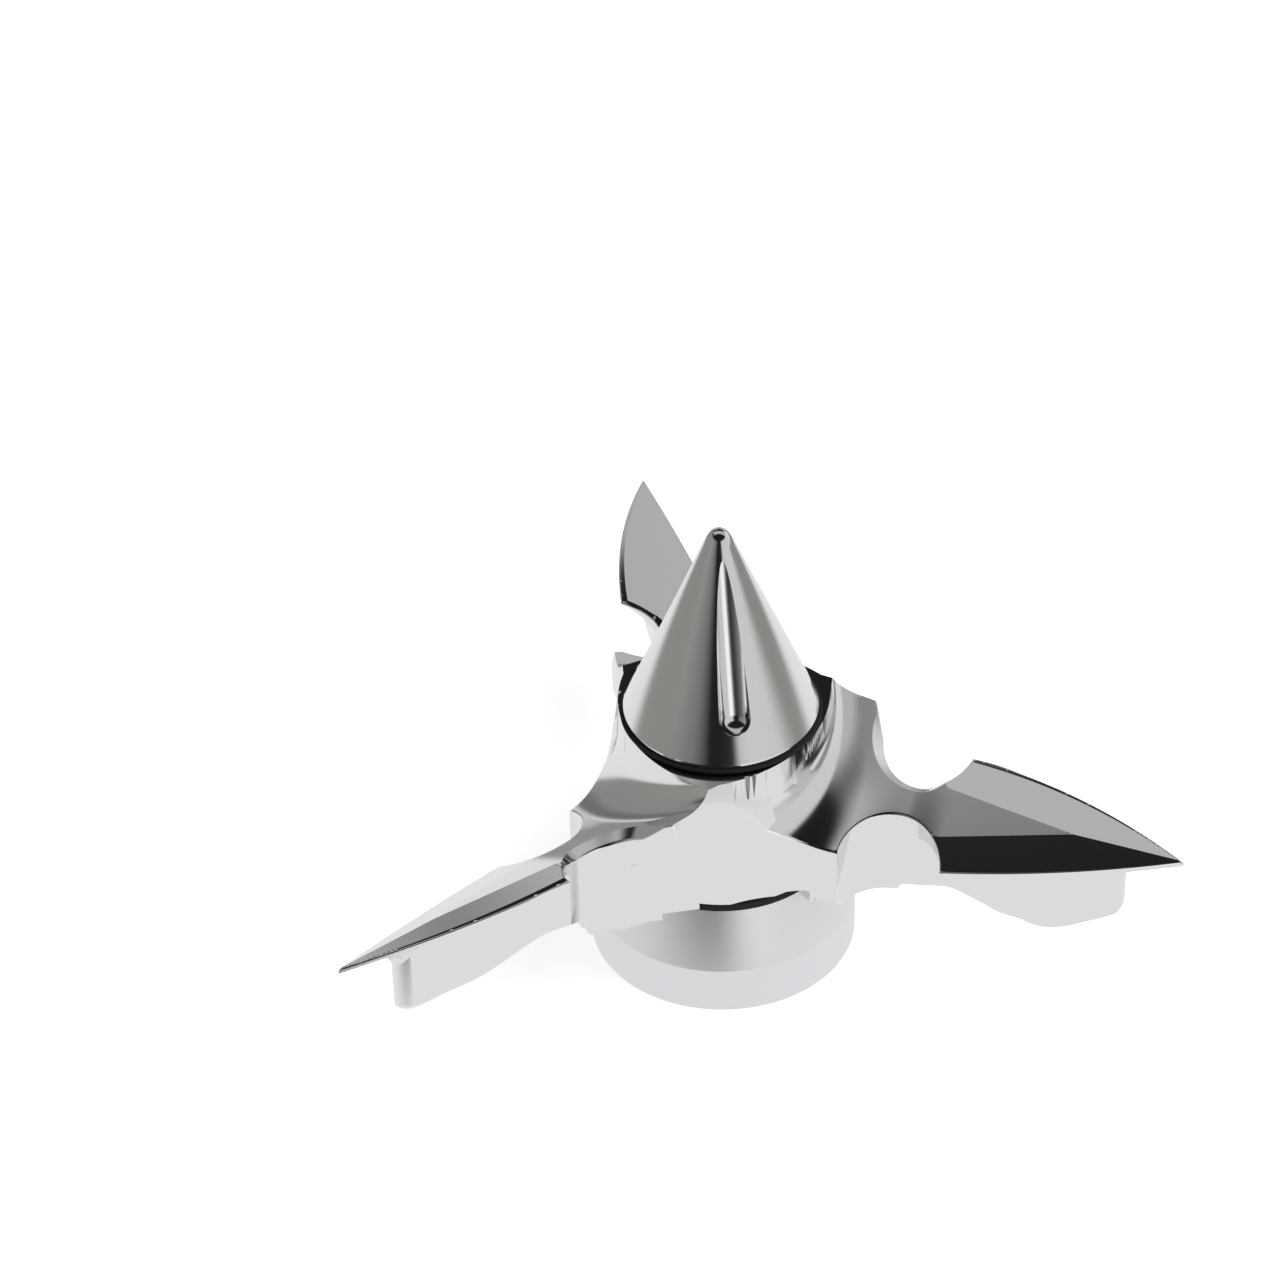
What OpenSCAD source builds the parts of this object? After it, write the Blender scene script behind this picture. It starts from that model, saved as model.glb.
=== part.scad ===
// Motorcycle axle nut cover. A turned cup clamps over the axle nut and carries a fixed stud.
// A spinner with three pitched blades turns on two ball bearings around the stud.
// A slotted cone spike screws onto the stud. This is the right-hand one of a mirrored pair.

/* [Cup] */
// Outer diameter of the cup's band
cup_d = 48; // [46:0.5:52]
// Height of the cup's straight band
cup_band_h = 9.2; // [8:0.2:12]
// Overall height of the cup
cup_h = 20.4; // [19:0.2:24]
// Diameter at the top of the cup's conical shoulder
cup_top_d = 40.8; // [38:0.2:42]
// Diameter of the pocket that goes over the axle nut
pocket_d = 38; // [34:0.5:40]
// Depth of the nut pocket
pocket_h = 12; // [10:0.2:13]

/* [Set screws] */
// Thread diameter of the set screws
screw_d = 5; // [4:0.5:6]
// Length of a set screw
screw_l = 4.4; // [3.8:0.1:4.5]
// Width across flats of the hex socket in a set screw
screw_key = 2.5; // [2:0.1:2.8]
// Height of the set screws above the foot of the cup
screw_z = 4.6; // [4:0.1:5.5]

/* [Stud and nut] */
// Diameter of the stud, a fit in the bearing bores
stud_d = 8; // [7:0.5:9]
// Length of the stud above the cup's web that enters the spike
stud_grip = 13; // [10:0.5:16]
// Diameter of the stud's round head
stud_head_d = 13; // [12:0.5:14]
// Height of the stud's head
stud_head_h = 4.5; // [4:0.25:5]
// Width across flats of the socket in the stud's head
stud_key = 5; // [4:0.5:6]
// Outer diameter of the washer under the stud's head
washer_d = 16; // [15:0.5:18]
// Thickness of that washer
washer_t = 1.6; // [1.2:0.1:2]
// Width across flats of the lock nut
nut_af = 13; // [12:0.5:14]
// Thickness of the lock nut
nut_h = 4; // [3.6:0.1:5]

/* [Bearings] */
// Outer diameter of each ball bearing
brg_od = 22; // [21:0.5:24]
// Width of each ball bearing
brg_w = 7; // [6:0.25:8]
// Number of balls in each bearing
ball_n = 7; // [6:1:8]
// Diameter of a bearing ball
ball_d = 3.97; // [3.5:0.05:4]
// Length of the spacer between the two bearings
spacer_l = 9; // [8:0.25:11]

/* [Rings] */
// Height of the lower black ring between the cup and the spinner
low_ring_h = 1.5; // [1:0.1:2.5]
// Outer diameter of the upper black ring under the spike
top_ring_d = 35.6; // [34:0.2:36.4]
// Running gap between the spinner and each ring
run_gap = 0.3; // [0.2:0.05:0.5]
// Wall of the upper black ring
top_ring_w = 4; // [3:0.25:5]

/* [Spike] */
// Diameter of the spike at the foot of its slope
spike_d = 34.4; // [32:0.2:35]
// Height of the spike's straight lip
spike_lip_h = 0.8; // [0.5:0.1:1.2]
// Height of the sloping part up to the centre of the tip ball
spike_slope_h = 35.6; // [30:0.5:42]
// Diameter of the spike's round tip
spike_tip_d = 5.16; // [4.4:0.1:6]
// Diameter of the ball-nosed slots in the spike
slot_d = 6; // [5:0.2:6.6]
// Depth of a slot at its round foot
slot_depth = 2; // [1.4:0.1:2.4]
// Height of a slot's round foot above the spike's base
slot_foot = 8.6; // [7:0.2:10]

/* [Spinner] */
// Radius from the axis to a blade's tip
tip_r = 84.4; // [80:0.2:90]
// Height of the spinner's hub
hub_h = 27.3; // [26.6:0.1:29]
// Radius of the hub's wall between the blades
hub_r = 20.2; // [19.8:0.1:20.6]
// Rise of a blade for each millimetre across it
blade_pitch = 0.53; // [0.48:0.01:0.56]
// Thickness of a blade's rim
rim_t = 1; // [0.8:0.1:1.5]
// Radius of the notch in a blade's low edge
low_notch_r = 9.1; // [8.8:0.1:9.4]
// Radius of the notch in a blade's high edge
high_notch_r = 8.4; // [8:0.1:8.8]
// Radius of the scalloped wall between two blades
scallop_r = 27; // [26.6:0.1:27.2]
// Wall of the hub's shoulder between the bearings
shoulder_w = 2; // [1.5:0.1:2.5]

/* [Hidden] */
$fn = 96;
eps = 0.01;
blades = 3;
blade_step = 360 / blades;

// Heights of the stack, from the foot of the cup upwards
head_sink = 0.2;
screw_sink = 0.4;
washer_z = pocket_h + head_sink + stud_head_h;
head_top_z = washer_z + washer_t;
hub_z = cup_h + low_ring_h + run_gap;
brg_seat = 1.8;
low_brg_z = hub_z + brg_seat;
top_brg_z = low_brg_z + brg_w + spacer_l;
nut_z = top_brg_z + brg_w;
spike_seat_z = nut_z + nut_h;
rim_z = hub_z + hub_h;
spike_z = max(rim_z + run_gap + 0.65, spike_seat_z - 2);
slope_z = spike_z + spike_lip_h;
tip_z = slope_z + spike_slope_h;

// Fits
thread_gap = 0.02;
ball_gap = 0.06;
bush_gap = 0.15;

// Bearing sections
race_bore = stud_d;
pitch_r = (brg_od + race_bore) / 4;
inner_race_r = pitch_r - 0.38 * ball_d;
outer_race_r = pitch_r + 0.38 * ball_d;
shield_t = 0.4;
rail_h = 0.4;
cage_half = ball_d / 2 + ball_gap + rail_h;

// Section of the black rings
low_ring_r = cup_top_d / 2;
low_ring_w = 5;
boss_r = stud_d / 2 + 2;

// The axis, walls and floor of the swept scoop that runs from the hub onto each blade
scoop_c = [-8.9, 2.5];
scoop_r = 26.85;
scoop_fillet_r = 7.5;
floor_r = 278;
floor_x = 43.5;
floor_low = 37.7;

// Plan of a blade that points along +X, with its high edge on the +Y side
tip = [tip_r, 0];
high_shoulder = [43.2, 10.9];
low_shoulder = [43.4, -9.15];
high_edge_r = 115;
low_edge_r = 280;
horn = [23.6, 15.6];
horn_root = [27.05, 10];
high_notch_c = [34.9, 12.5];
low_notch_c = [34.6, -11.2];
scallop_c = [27, -38.5];

// Tops of the blade: two facets that meet in a ridge, and the facet beside the horn
ridge_z = 38.7;
high_facet = [0.00905, 0.374];
low_facet = [0.01715, 0.669];
rim_apex = [14.9, 15, 49.7];
horn_top = [23.6, 15.6, 44.9];
crease_foot = [6.33, 19.2, 38.43];
lift = hub_z - 22.2;
web_foot_z = 19.2;
cup_clear_z = 20.6;
blade_h = 40;
big = 200;
slot_clear = 0.3;
ring_t = 1;
ring_in_r = brg_od / 2 - 1.6;
ring_out_r = brg_od / 2 + 0.5;
nose_r = 3;
web_half = 4.4;
bulge_c = [61, 10];
bulge_r = bulge_c[1] + web_half;
nose_c = [71, 1.6];
blade_margin = 5.6;
blade_box = [tip_r + blade_margin, 4 * hub_r, rim_z + blade_margin];
foot_fillet_r = 4.6;
foot_fillet = [78.5, 32.3];

function cross3(a, b) = [a[1] * b[2] - a[2] * b[1], a[2] * b[0] - a[0] * b[2], a[0] * b[1] - a[1] * b[0]];
function arc(c, r, a0, a1, n) =
    [for (i = [0 : n]) [c[0] + r * cos(a0 + (a1 - a0) * i / n), c[1] + r * sin(a0 + (a1 - a0) * i / n)]];
// Centre of the circle of radius r through p and q that lies on the right of the way from p to q
function arc_centre(p, q, r) =
    let (m = (p + q) / 2, d = q - p, l = norm(d), h = sqrt(r * r - l * l / 4))
    m + h * [d[1], -d[0]] / l;

// Everything on the side of a plane that its normal points to
module beyond(p, n) {
    translate(p)
        rotate([0, acos(n[2] / norm(n)), atan2(n[1], n[0])])
            translate([-big, -big, 0])
                cube([2 * big, 2 * big, big]);
}

// A section in X and Z, drawn out along Y and pitched so that it rises with Y
module pitched(points, pitch) {
    rotate([atan(pitch), 0, 0])
        rotate([90, 0, 0])
            linear_extrude(height = big, center = true)
                polygon([for (p = points) [p[0], p[1] * cos(atan(pitch))]]);
}

module ring(r_out, r_in, h) {
    difference() {
        cylinder(r = r_out, h = h);
        translate([0, 0, -eps])
            cylinder(r = r_in, h = h + 2 * eps);
    }
}

module hex(af, h) {
    cylinder(r = af / 2 / cos(30), h = h, $fn = 6);
}

module at_screws() {
    for (a = [180, 270])
        rotate([0, 0, a])
            translate([cup_d / 2, 0, screw_z])
                rotate([0, -90, 0])
                    children();
}

module base_cup() {
    color("silver")
        difference() {
            union() {
                cylinder(d = cup_d, h = cup_band_h);
                translate([0, 0, cup_band_h])
                    cylinder(d1 = cup_d, d2 = cup_top_d, h = cup_h - cup_band_h);
                cylinder(r = boss_r, h = low_brg_z);
            }
            translate([0, 0, -eps])
                cylinder(d = pocket_d, h = pocket_h + eps);
            cylinder(r = washer_d / 2 + run_gap, h = head_top_z);
            cylinder(d = stud_d + 2 * thread_gap, h = big);
            at_screws()
                translate([0, 0, -eps])
                    cylinder(d = screw_d + 2 * thread_gap, h = cup_d / 4);
        }
}

module set_screws() {
    color("dimgray")
        at_screws()
            translate([0, 0, screw_sink])
                difference() {
                    cylinder(d = screw_d, h = screw_l);
                    translate([0, 0, -eps])
                        hex(screw_key, screw_l / 2);
                }
}

module lower_ring() {
    color([0.1, 0.1, 0.1])
        translate([0, 0, cup_h])
            ring(low_ring_r, low_ring_r - low_ring_w, low_ring_h);
}

module centre_stud() {
    head_z = washer_z - stud_head_h;
    color("gray")
        difference() {
            union() {
                translate([0, 0, head_z])
                    cylinder(d = stud_head_d, h = stud_head_h);
                translate([0, 0, head_z])
                    cylinder(d = stud_d, h = spike_seat_z + stud_grip - head_z);
            }
            translate([0, 0, head_z - eps])
                hex(stud_key, stud_head_h * 0.6);
        }
}

module stud_washer() {
    color("lightgray")
        translate([0, 0, washer_z])
            ring(washer_d / 2, stud_d / 2 + thread_gap, washer_t);
}

// Ball groove shared by the two races, as a torus
module groove() {
    translate([0, 0, brg_w / 2])
        rotate_extrude()
            translate([pitch_r, 0])
                circle(r = ball_d / 2 + ball_gap, $fn = 48);
}

module inner_race() {
    difference() {
        ring(inner_race_r, race_bore / 2 + thread_gap, brg_w);
        groove();
    }
}

module outer_race() {
    difference() {
        ring(brg_od / 2, outer_race_r, brg_w);
        groove();
    }
}

module at_balls() {
    for (i = [0 : ball_n - 1])
        rotate([0, 0, i * 360 / ball_n])
            translate([pitch_r, 0, brg_w / 2])
                children();
}

// A pierced band that keeps the balls apart
module ball_cage() {
    translate([0, 0, brg_w / 2 - cage_half])
        difference() {
            ring(outer_race_r - bush_gap - 0.3, inner_race_r + bush_gap + 0.3, 2 * cage_half);
            translate([0, 0, cage_half - brg_w / 2])
                at_balls()
                    rotate([0, 90, 0])
                        cylinder(d = ball_d + 2 * ball_gap, h = ball_d, center = true);
        }
}

module balls() {
    at_balls()
        sphere(d = ball_d, $fn = 48);
}

// Two thin shields that close the gap between the races, held in the outer race
module shields() {
    for (z = [0.2, brg_w - 0.2 - shield_t])
        translate([0, 0, z])
            ring(outer_race_r - eps, inner_race_r + bush_gap, shield_t);
}

module at_lower_bearing() {
    translate([0, 0, low_brg_z])
        children();
}

module at_upper_bearing() {
    translate([0, 0, top_brg_z])
        children();
}

module lower_inner_race() {
    color("lightsteelblue")
        at_lower_bearing()
            inner_race();
}

module lower_outer_race() {
    color("lightsteelblue")
        at_lower_bearing()
            outer_race();
}

module lower_ball_cage() {
    color("goldenrod")
        at_lower_bearing()
            ball_cage();
}

module lower_balls() {
    color("white")
        at_lower_bearing()
            balls();
}

module lower_shields() {
    color("gainsboro")
        at_lower_bearing()
            shields();
}

module upper_inner_race() {
    color("lightsteelblue")
        at_upper_bearing()
            inner_race();
}

module upper_outer_race() {
    color("lightsteelblue")
        at_upper_bearing()
            outer_race();
}

module upper_ball_cage() {
    color("goldenrod")
        at_upper_bearing()
            ball_cage();
}

module upper_balls() {
    color("white")
        at_upper_bearing()
            balls();
}

module upper_shields() {
    color("gainsboro")
        at_upper_bearing()
            shields();
}

module bearing_spacer() {
    color("silver")
        translate([0, 0, low_brg_z + brg_w])
            ring(inner_race_r, stud_d / 2 + thread_gap, spacer_l);
}

// Internal ring in a groove above the upper bearing, open on one side with two eyes
module retaining_ring() {
    color("dimgray")
        translate([0, 0, nut_z])
            difference() {
                ring(ring_out_r, ring_in_r, ring_t);
                rotate([0, 0, 90])
                    translate([0, -1.5, -eps])
                        cube([ring_out_r + 1, 3, ring_t + 2 * eps]);
            }
}

module lock_nut() {
    color("gray")
        translate([0, 0, nut_z])
            difference() {
                hex(nut_af, nut_h);
                translate([0, 0, -eps])
                    cylinder(r = stud_d / 2 + thread_gap, h = nut_h + 2 * eps);
            }
}

// Outline of one blade, its root and the horn beside the next scallop
module blade_plan() {
    difference() {
        union() {
            intersection() {
                translate(arc_centre(high_shoulder, tip, high_edge_r))
                    circle(r = high_edge_r, $fn = 360);
                translate(arc_centre(tip, low_shoulder, low_edge_r))
                    circle(r = low_edge_r, $fn = 720);
                translate([35, -20])
                    square([60, 40]);
            }
            polygon([[0, 0], [14, -26], [27, -14], [36, -3], [36, 6], horn_root, horn, [6, 24]]);
        }
        translate(high_notch_c)
            circle(r = high_notch_r);
        translate(low_notch_c)
            circle(r = low_notch_r);
        translate(scallop_c)
            circle(r = scallop_r);
        rotate([0, 0, blade_step])
            translate(scallop_c)
                circle(r = scallop_r);
    }
}

// Outline of the upright web under a blade, from the root to its rounded nose
module web_plan() {
    polygon(concat(
        [[0, 0], [24, -14.1], [27, -14], [34, -2.2], [43, -2.2], [53, -3.8]],
        arc(bulge_c, bulge_r, -106, -60, 6),
        arc(nose_c, nose_r, -45, 60, 8),
        [[68, web_half], [44, web_half], [38, 5.1], [32, 6], [24, 8.5], [16, 13]]));
}

// The web is arched below, and hangs lower near the hub than the hub does
module web() {
    difference() {
        linear_extrude(height = blade_h)
            web_plan();
        pitched([[34, 0], [34, 21.5], [43, 22.9], [49, 22.4], [53, 21.8], [58, 21.5], [66, 22.3],
            [71, 22.7], [76, 23.6], [90, 23.6], [90, 0]], 0.5);
    }
}

// The thin wings beyond the web, and the fillet from the web's nose to the tip
module wings() {
    pitched([[-10, 80], [-10, 30.3], [27, 30.3], [36, 33.5], [43, 36.65 - rim_t], [60, 37.1 - rim_t],
        [72, 38 - rim_t], [tip_r + 1, ridge_z - rim_t], [tip_r + 1, 80]], blade_pitch);
    difference() {
        translate([72, -1, 32])
            cube([6.5, 4.6, 6]);
        translate([foot_fillet[0], 0, foot_fillet[1]])
            rotate([90, 0, 0])
                cylinder(r = foot_fillet_r, h = 20, center = true);
    }
}

// Flare from the hub's wall down onto the blade
module flare() {
    intersection() {
        translate([scoop_c[0], scoop_c[1], 0])
            rotate_extrude()
                difference() {
                    polygon([[0, 0], [40, 0], [40, 31.4], [30.2, 38.6], [scoop_r + scoop_fillet_r, 45],
                        [scoop_r, 49.5], [0, 49.5]]);
                    translate([scoop_r + scoop_fillet_r, 45])
                        circle(r = scoop_fillet_r);
                    translate([scoop_r, 45])
                        square([20, 20]);
                }
        translate([4, -30, 0])
            cube([40, 60, 60]);
    }
}

module blade_top() {
    intersection() {
        union() {
            difference() {
                translate([0, -blade_box[1] / 2, 0])
                    cube(blade_box);
                rotate([atan(blade_pitch), 0, 0])
                    translate([floor_x, 0, floor_low * cos(atan(blade_pitch)) + floor_r])
                        rotate([90, 0, 0])
                            cylinder(r = floor_r, h = 2 * big, center = true, $fn = 360);
            }
            flare();
        }
        difference() {
            translate([0, -blade_box[1] / 2, 0])
                cube(blade_box);
            beyond([tip_r, 0, ridge_z], [-high_facet[0], -high_facet[1], 1]);
            beyond([tip_r, 0, ridge_z], [-low_facet[0], -low_facet[1], 1]);
        }
    }
}

module blade() {
    difference() {
        intersection() {
            translate([0, 0, web_foot_z])
                linear_extrude(height = blade_h)
                    blade_plan();
            blade_top();
            union() {
                web();
                wings();
            }
        }
        beyond(rim_apex, cross3(horn_top - rim_apex, crease_foot - rim_apex));
    }
}

// The hub's upper wall is scooped on three sides, which leaves three points on its rim
module hub_body() {
    translate([0, 0, hub_z])
        cylinder(r = hub_r, h = 11);
    intersection() {
        translate([0, 0, hub_z])
            cylinder(r = 22, h = hub_h);
        scoop_wall(0);
        scoop_wall(1);
        scoop_wall(2);
    }
}

module scoop_wall(i) {
    rotate([0, 0, i * blade_step])
        translate([scoop_c[0], scoop_c[1], 0])
            cylinder(r = scoop_r, h = big);
}

module spinner() {
    color("whitesmoke")
        difference() {
            union() {
                hub_body();
                for (i = [0 : blades - 1])
                    rotate([0, 0, i * blade_step])
                        translate([0, 0, lift])
                            blade();
            }
            translate([0, 0, -eps])
                cylinder(r = low_ring_r + run_gap, h = hub_z + eps);
            translate([0, 0, -eps])
                cylinder(d = cup_d, h = cup_clear_z + eps);
            cylinder(r = brg_od / 2 - shoulder_w, h = big);
            cylinder(d = brg_od, h = low_brg_z + brg_w);
            translate([0, 0, top_brg_z])
                cylinder(d = brg_od, h = big);
            translate([0, 0, nut_z])
                cylinder(r = ring_out_r, h = ring_t);
        }
}

module upper_ring() {
    color([0.1, 0.1, 0.1])
        translate([0, 0, rim_z + run_gap])
            ring(top_ring_d / 2, top_ring_d / 2 - top_ring_w, spike_z - rim_z - run_gap);
}

module slot_cut() {
    foot_z = spike_z + slot_foot;
    slope = (spike_d - spike_tip_d) / 2 / spike_slope_h;
    foot_r = spike_d / 2 - slope * (foot_z - slope_z) - slot_depth + slot_d / 2;
    top_r = spike_tip_d / 2 + slot_d / 2 + slot_clear;
    run = tip_z - foot_z;
    lean = atan((foot_r - top_r) / run);
    translate([foot_r, 0, foot_z])
        rotate([0, -lean, 0]) {
            sphere(d = slot_d);
            cylinder(d = slot_d, h = run * 1.3);
        }
}

module cone_spike() {
    color("gainsboro")
        difference() {
            union() {
                translate([0, 0, spike_z])
                    cylinder(d = spike_d, h = spike_lip_h);
                translate([0, 0, slope_z])
                    cylinder(d1 = spike_d, d2 = spike_tip_d, h = spike_slope_h);
                translate([0, 0, tip_z])
                    sphere(d = spike_tip_d);
            }
            for (i = [0 : blades - 1])
                rotate([0, 0, (i + 0.5) * blade_step])
                    slot_cut();
            translate([0, 0, spike_z - eps])
                cylinder(r = nut_af / 2 / cos(30) + 0.5, h = spike_seat_z - spike_z + eps);
            translate([0, 0, spike_z - eps])
                cylinder(r = stud_d / 2 + thread_gap, h = spike_seat_z + stud_grip + 1 - spike_z);
        }
}

base_cup();
set_screws();
lower_ring();
centre_stud();
stud_washer();
lower_inner_race();
lower_outer_race();
lower_ball_cage();
lower_balls();
lower_shields();
upper_inner_race();
upper_outer_race();
upper_ball_cage();
upper_balls();
upper_shields();
bearing_spacer();
retaining_ring();
lock_nut();
spinner();
upper_ring();
cone_spike();
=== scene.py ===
import math

import bmesh
import bpy
import numpy as np
from bpy.props import FloatProperty, FloatVectorProperty, PointerProperty
from bpy.types import Operator, Panel, PropertyGroup
from mathutils import Matrix, Vector
from mathutils.geometry import delaunay_2d_cdt


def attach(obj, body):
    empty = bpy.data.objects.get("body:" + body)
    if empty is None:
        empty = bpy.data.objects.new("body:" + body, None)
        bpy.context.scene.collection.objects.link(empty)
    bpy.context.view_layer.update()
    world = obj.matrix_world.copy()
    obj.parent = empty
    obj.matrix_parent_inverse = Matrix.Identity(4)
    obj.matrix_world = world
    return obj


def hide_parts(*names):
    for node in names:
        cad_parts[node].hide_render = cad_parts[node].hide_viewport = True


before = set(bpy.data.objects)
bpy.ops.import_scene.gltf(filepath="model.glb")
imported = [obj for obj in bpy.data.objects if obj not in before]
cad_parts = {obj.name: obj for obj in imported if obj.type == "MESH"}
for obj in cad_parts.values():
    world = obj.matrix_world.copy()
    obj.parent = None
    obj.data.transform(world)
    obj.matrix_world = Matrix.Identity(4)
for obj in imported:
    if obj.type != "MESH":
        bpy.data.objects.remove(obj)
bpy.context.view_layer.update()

bl_info = {
    "name": "Axle Nut Cover",
    "version": (1, 0, 0),
    "blender": (4, 5, 0),
    "location": "View3D > Sidebar > Nut Cover",
    "description": "Builds a three-bladed spinning axle nut cover and its studio, piece by piece",
    "category": "Object",
}

MM = 0.001
BLADES = 3
BLADE_STEP = 2 * math.pi / BLADES
CAMERA_AZIMUTH = math.radians(50.13)


# ---------------------------------------------------------------- sizes and colours

class CoverSizes(PropertyGroup):
    """Sizes of the pieces that are modelled here."""

    edge_round: FloatProperty(name="Edge rounding", description="Radius along the blades' upper edges",
                              default=0.3 * MM, min=0.1 * MM, max=0.6 * MM, subtype="DISTANCE", unit="LENGTH")
    mesh_step: FloatProperty(name="Mesh step", description="Spacing of the points on the blades' tops",
                             default=0.6 * MM, min=0.4 * MM, max=2 * MM, subtype="DISTANCE", unit="LENGTH")


def tint(name, description, colour):
    """A colour that a user can change."""
    return FloatVectorProperty(name=name, description=description, default=colour, subtype="COLOR",
                               min=0, max=1)


class CoverFinishes(PropertyGroup):
    """Colours of the finishes."""

    chrome: tint("Chrome", "Colour of the bright plating", (0.93, 0.935, 0.93))
    turned: tint("Turned aluminium", "Colour of the cup", (0.88, 0.88, 0.875))
    rubber: tint("Rubber", "Colour of the black rings", (0.012, 0.012, 0.013))
    steel: tint("Bearing steel", "Colour of the races and balls", (0.62, 0.63, 0.65))
    zinc: tint("Zinc", "Colour of the stud, nut and washer", (0.66, 0.67, 0.68))
    brass: tint("Cage brass", "Colour of the ball cages", (0.75, 0.55, 0.26))
    black_steel: tint("Black steel", "Colour of the screws and retaining ring", (0.03, 0.03, 0.032))


# ---------------------------------------------------------------- nodes as expressions

class Wire:
    """A socket that can be used in sums, so that shader maths reads as plain Python."""

    def __init__(self, net, socket):
        self.net = net
        self.socket = socket

    def maths(self, operation, *values):
        return self.net.add("ShaderNodeMath", {"operation": operation}, dict(enumerate(values)))

    def __add__(self, other):
        return self.maths("ADD", self, other)

    def __sub__(self, other):
        return self.maths("SUBTRACT", self, other)

    def __rsub__(self, other):
        return self.maths("SUBTRACT", other, self)

    def __mul__(self, other):
        return self.maths("MULTIPLY", self, other)

    def __truediv__(self, other):
        return self.maths("DIVIDE", self, other)

    __radd__ = __add__
    __rmul__ = __mul__

    def ramp(self, start, end):
        """0 before start and 1 after end, eased between them."""
        return self.net.add("ShaderNodeMapRange", {"interpolation_type": "SMOOTHSTEP"},
                            {0: self, 1: start, 2: end, 3: 0.0, 4: 1.0})


class Net:
    """Adds nodes to the tree of one material or world."""

    def __init__(self, owner):
        owner.use_nodes = True
        self.tree = owner.node_tree
        self.tree.nodes.clear()

    def add(self, kind, settings=None, inputs=None, out=0):
        """One node of a kind, with its settings and its inputs, as the wire of one output."""
        node = self.tree.nodes.new(kind)
        for key, value in (settings or {}).items():
            if key == "stops":
                ramp = node.color_ramp
                while len(ramp.elements) < len(value):
                    ramp.elements.new(0.5)
                for element, (place, shade) in zip(ramp.elements, value):
                    element.position = place
                    element.color = (*shade, 1) if isinstance(shade, tuple) else (shade, shade, shade, 1)
            else:
                setattr(node, key, value)
        for key, value in (inputs or {}).items():
            if isinstance(value, Wire):
                self.tree.links.new(value.socket, node.inputs[key])
            else:
                node.inputs[key].default_value = value
        return Wire(self, node.outputs[out])

    def split(self, vector):
        """The three numbers of a vector."""
        first = self.add("ShaderNodeSeparateXYZ", {}, {0: vector})
        return [Wire(self, s) for s in first.socket.node.outputs]

    def reach(self, x, y):
        """The distance from the axis."""
        return self.add("ShaderNodeMath", {"operation": "SQRT"}, {0: x * x + y * y})

    def noise(self, vector, scale, detail=2.0, rough=0.5):
        return self.add("ShaderNodeTexNoise", {}, {"Vector": vector, "Scale": scale, "Detail": detail,
                                                   "Roughness": rough})

    def mix(self, factor, low, high):
        """A colour between two colours."""
        return self.add("ShaderNodeMix", {"data_type": "RGBA"}, {0: factor, 6: low, 7: high}, out=2)

    def end(self, kind, inputs):
        """The closing node of the tree."""
        node = self.tree.nodes.new(kind)
        for key, value in inputs.items():
            self.tree.links.new(value.socket, node.inputs[key])
        return node


def finish_of(name, colour, rough, metal, detail):
    """A material with its own detail; detail adds the varying inputs to the shader's sockets."""
    material = bpy.data.materials.new(name)
    net = Net(material)
    place = net.add("ShaderNodeTexCoord", {}, {}, out=3)
    inputs = {"Base Color": (*colour, 1), "Roughness": rough, "Metallic": metal}
    inputs.update(detail(net, place, colour, rough))
    shader = net.add("ShaderNodeBsdfPrincipled", {}, inputs)
    net.end("ShaderNodeOutputMaterial", {"Surface": shader})
    material.diffuse_color = (*colour, 1)
    return material


def bump(net, height, distance, strength=1.0):
    return net.add("ShaderNodeBump", {}, {"Height": height, "Distance": distance, "Strength": strength})


def shade(colour, factor):
    return tuple(min(1.0, c * factor) for c in colour) + (1,)


def chrome_detail(net, place, colour, rough):
    """Bright plating: faint polishing haze and a trace of orange peel."""
    haze = net.noise(place, 90.0, 4.0, 0.6)
    fine = net.noise(place, 900.0, 2.0)
    return {"Base Color": net.mix(haze.ramp(0.3, 0.75), shade(colour, 0.97), shade(colour, 1.0)),
            "Roughness": rough + haze.ramp(0.45, 0.8) * 0.03 + fine * 0.01}


def round_axis(net, place):
    """A place that follows only the distance from the axis and the height, for rings round the axis."""
    x, y, z = net.split(place)
    return net.add("ShaderNodeCombineXYZ", {}, {0: net.reach(x, y), 2: z})


def turned_detail(net, place, colour, rough):
    """Turned aluminium: fine rings from the tool."""
    along = round_axis(net, place)
    rings = net.noise(along, 5200.0, 1.0)
    coarse = net.noise(along, 1500.0, 2.0)
    cloud = net.noise(place, 60.0, 3.0)
    lines = rings * 0.6 + coarse * 0.4
    return {"Base Color": net.mix(lines.ramp(0.3, 0.7), shade(colour, 0.9), shade(colour, 1.0)),
            "Roughness": rough + lines * 0.1 + cloud * 0.04,
            "Normal": bump(net, lines, 0.000004, 0.5)}


def rubber_detail(net, place, colour, rough):
    """Black rubber: fine grain and a little dust bloom."""
    grain = net.noise(place, 2600.0, 3.0, 0.65)
    bloom = net.noise(place, 130.0, 3.0)
    return {"Base Color": net.mix(bloom.ramp(0.35, 0.8), shade(colour, 1.0), shade(colour, 2.2)),
            "Roughness": rough + grain * 0.15,
            "Normal": bump(net, grain, 0.00003, 0.5)}


def steel_detail(net, place, colour, rough):
    """Ground steel: very fine lines round the axis."""
    lines = net.noise(round_axis(net, place), 4000.0, 2.0)
    return {"Base Color": net.mix(lines, shade(colour, 0.88), shade(colour, 1.05)),
            "Roughness": rough + lines * 0.1}


def zinc_detail(net, place, colour, rough):
    """Zinc plate: cloudy patches and fine grain."""
    cloud = net.noise(place, 260.0, 4.0, 0.6)
    grain = net.noise(place, 3000.0, 2.0)
    return {"Base Color": net.mix(cloud.ramp(0.3, 0.7), shade(colour, 0.8), shade(colour, 1.05)),
            "Roughness": rough + cloud * 0.16,
            "Normal": bump(net, grain, 0.00001, 0.4)}


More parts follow.
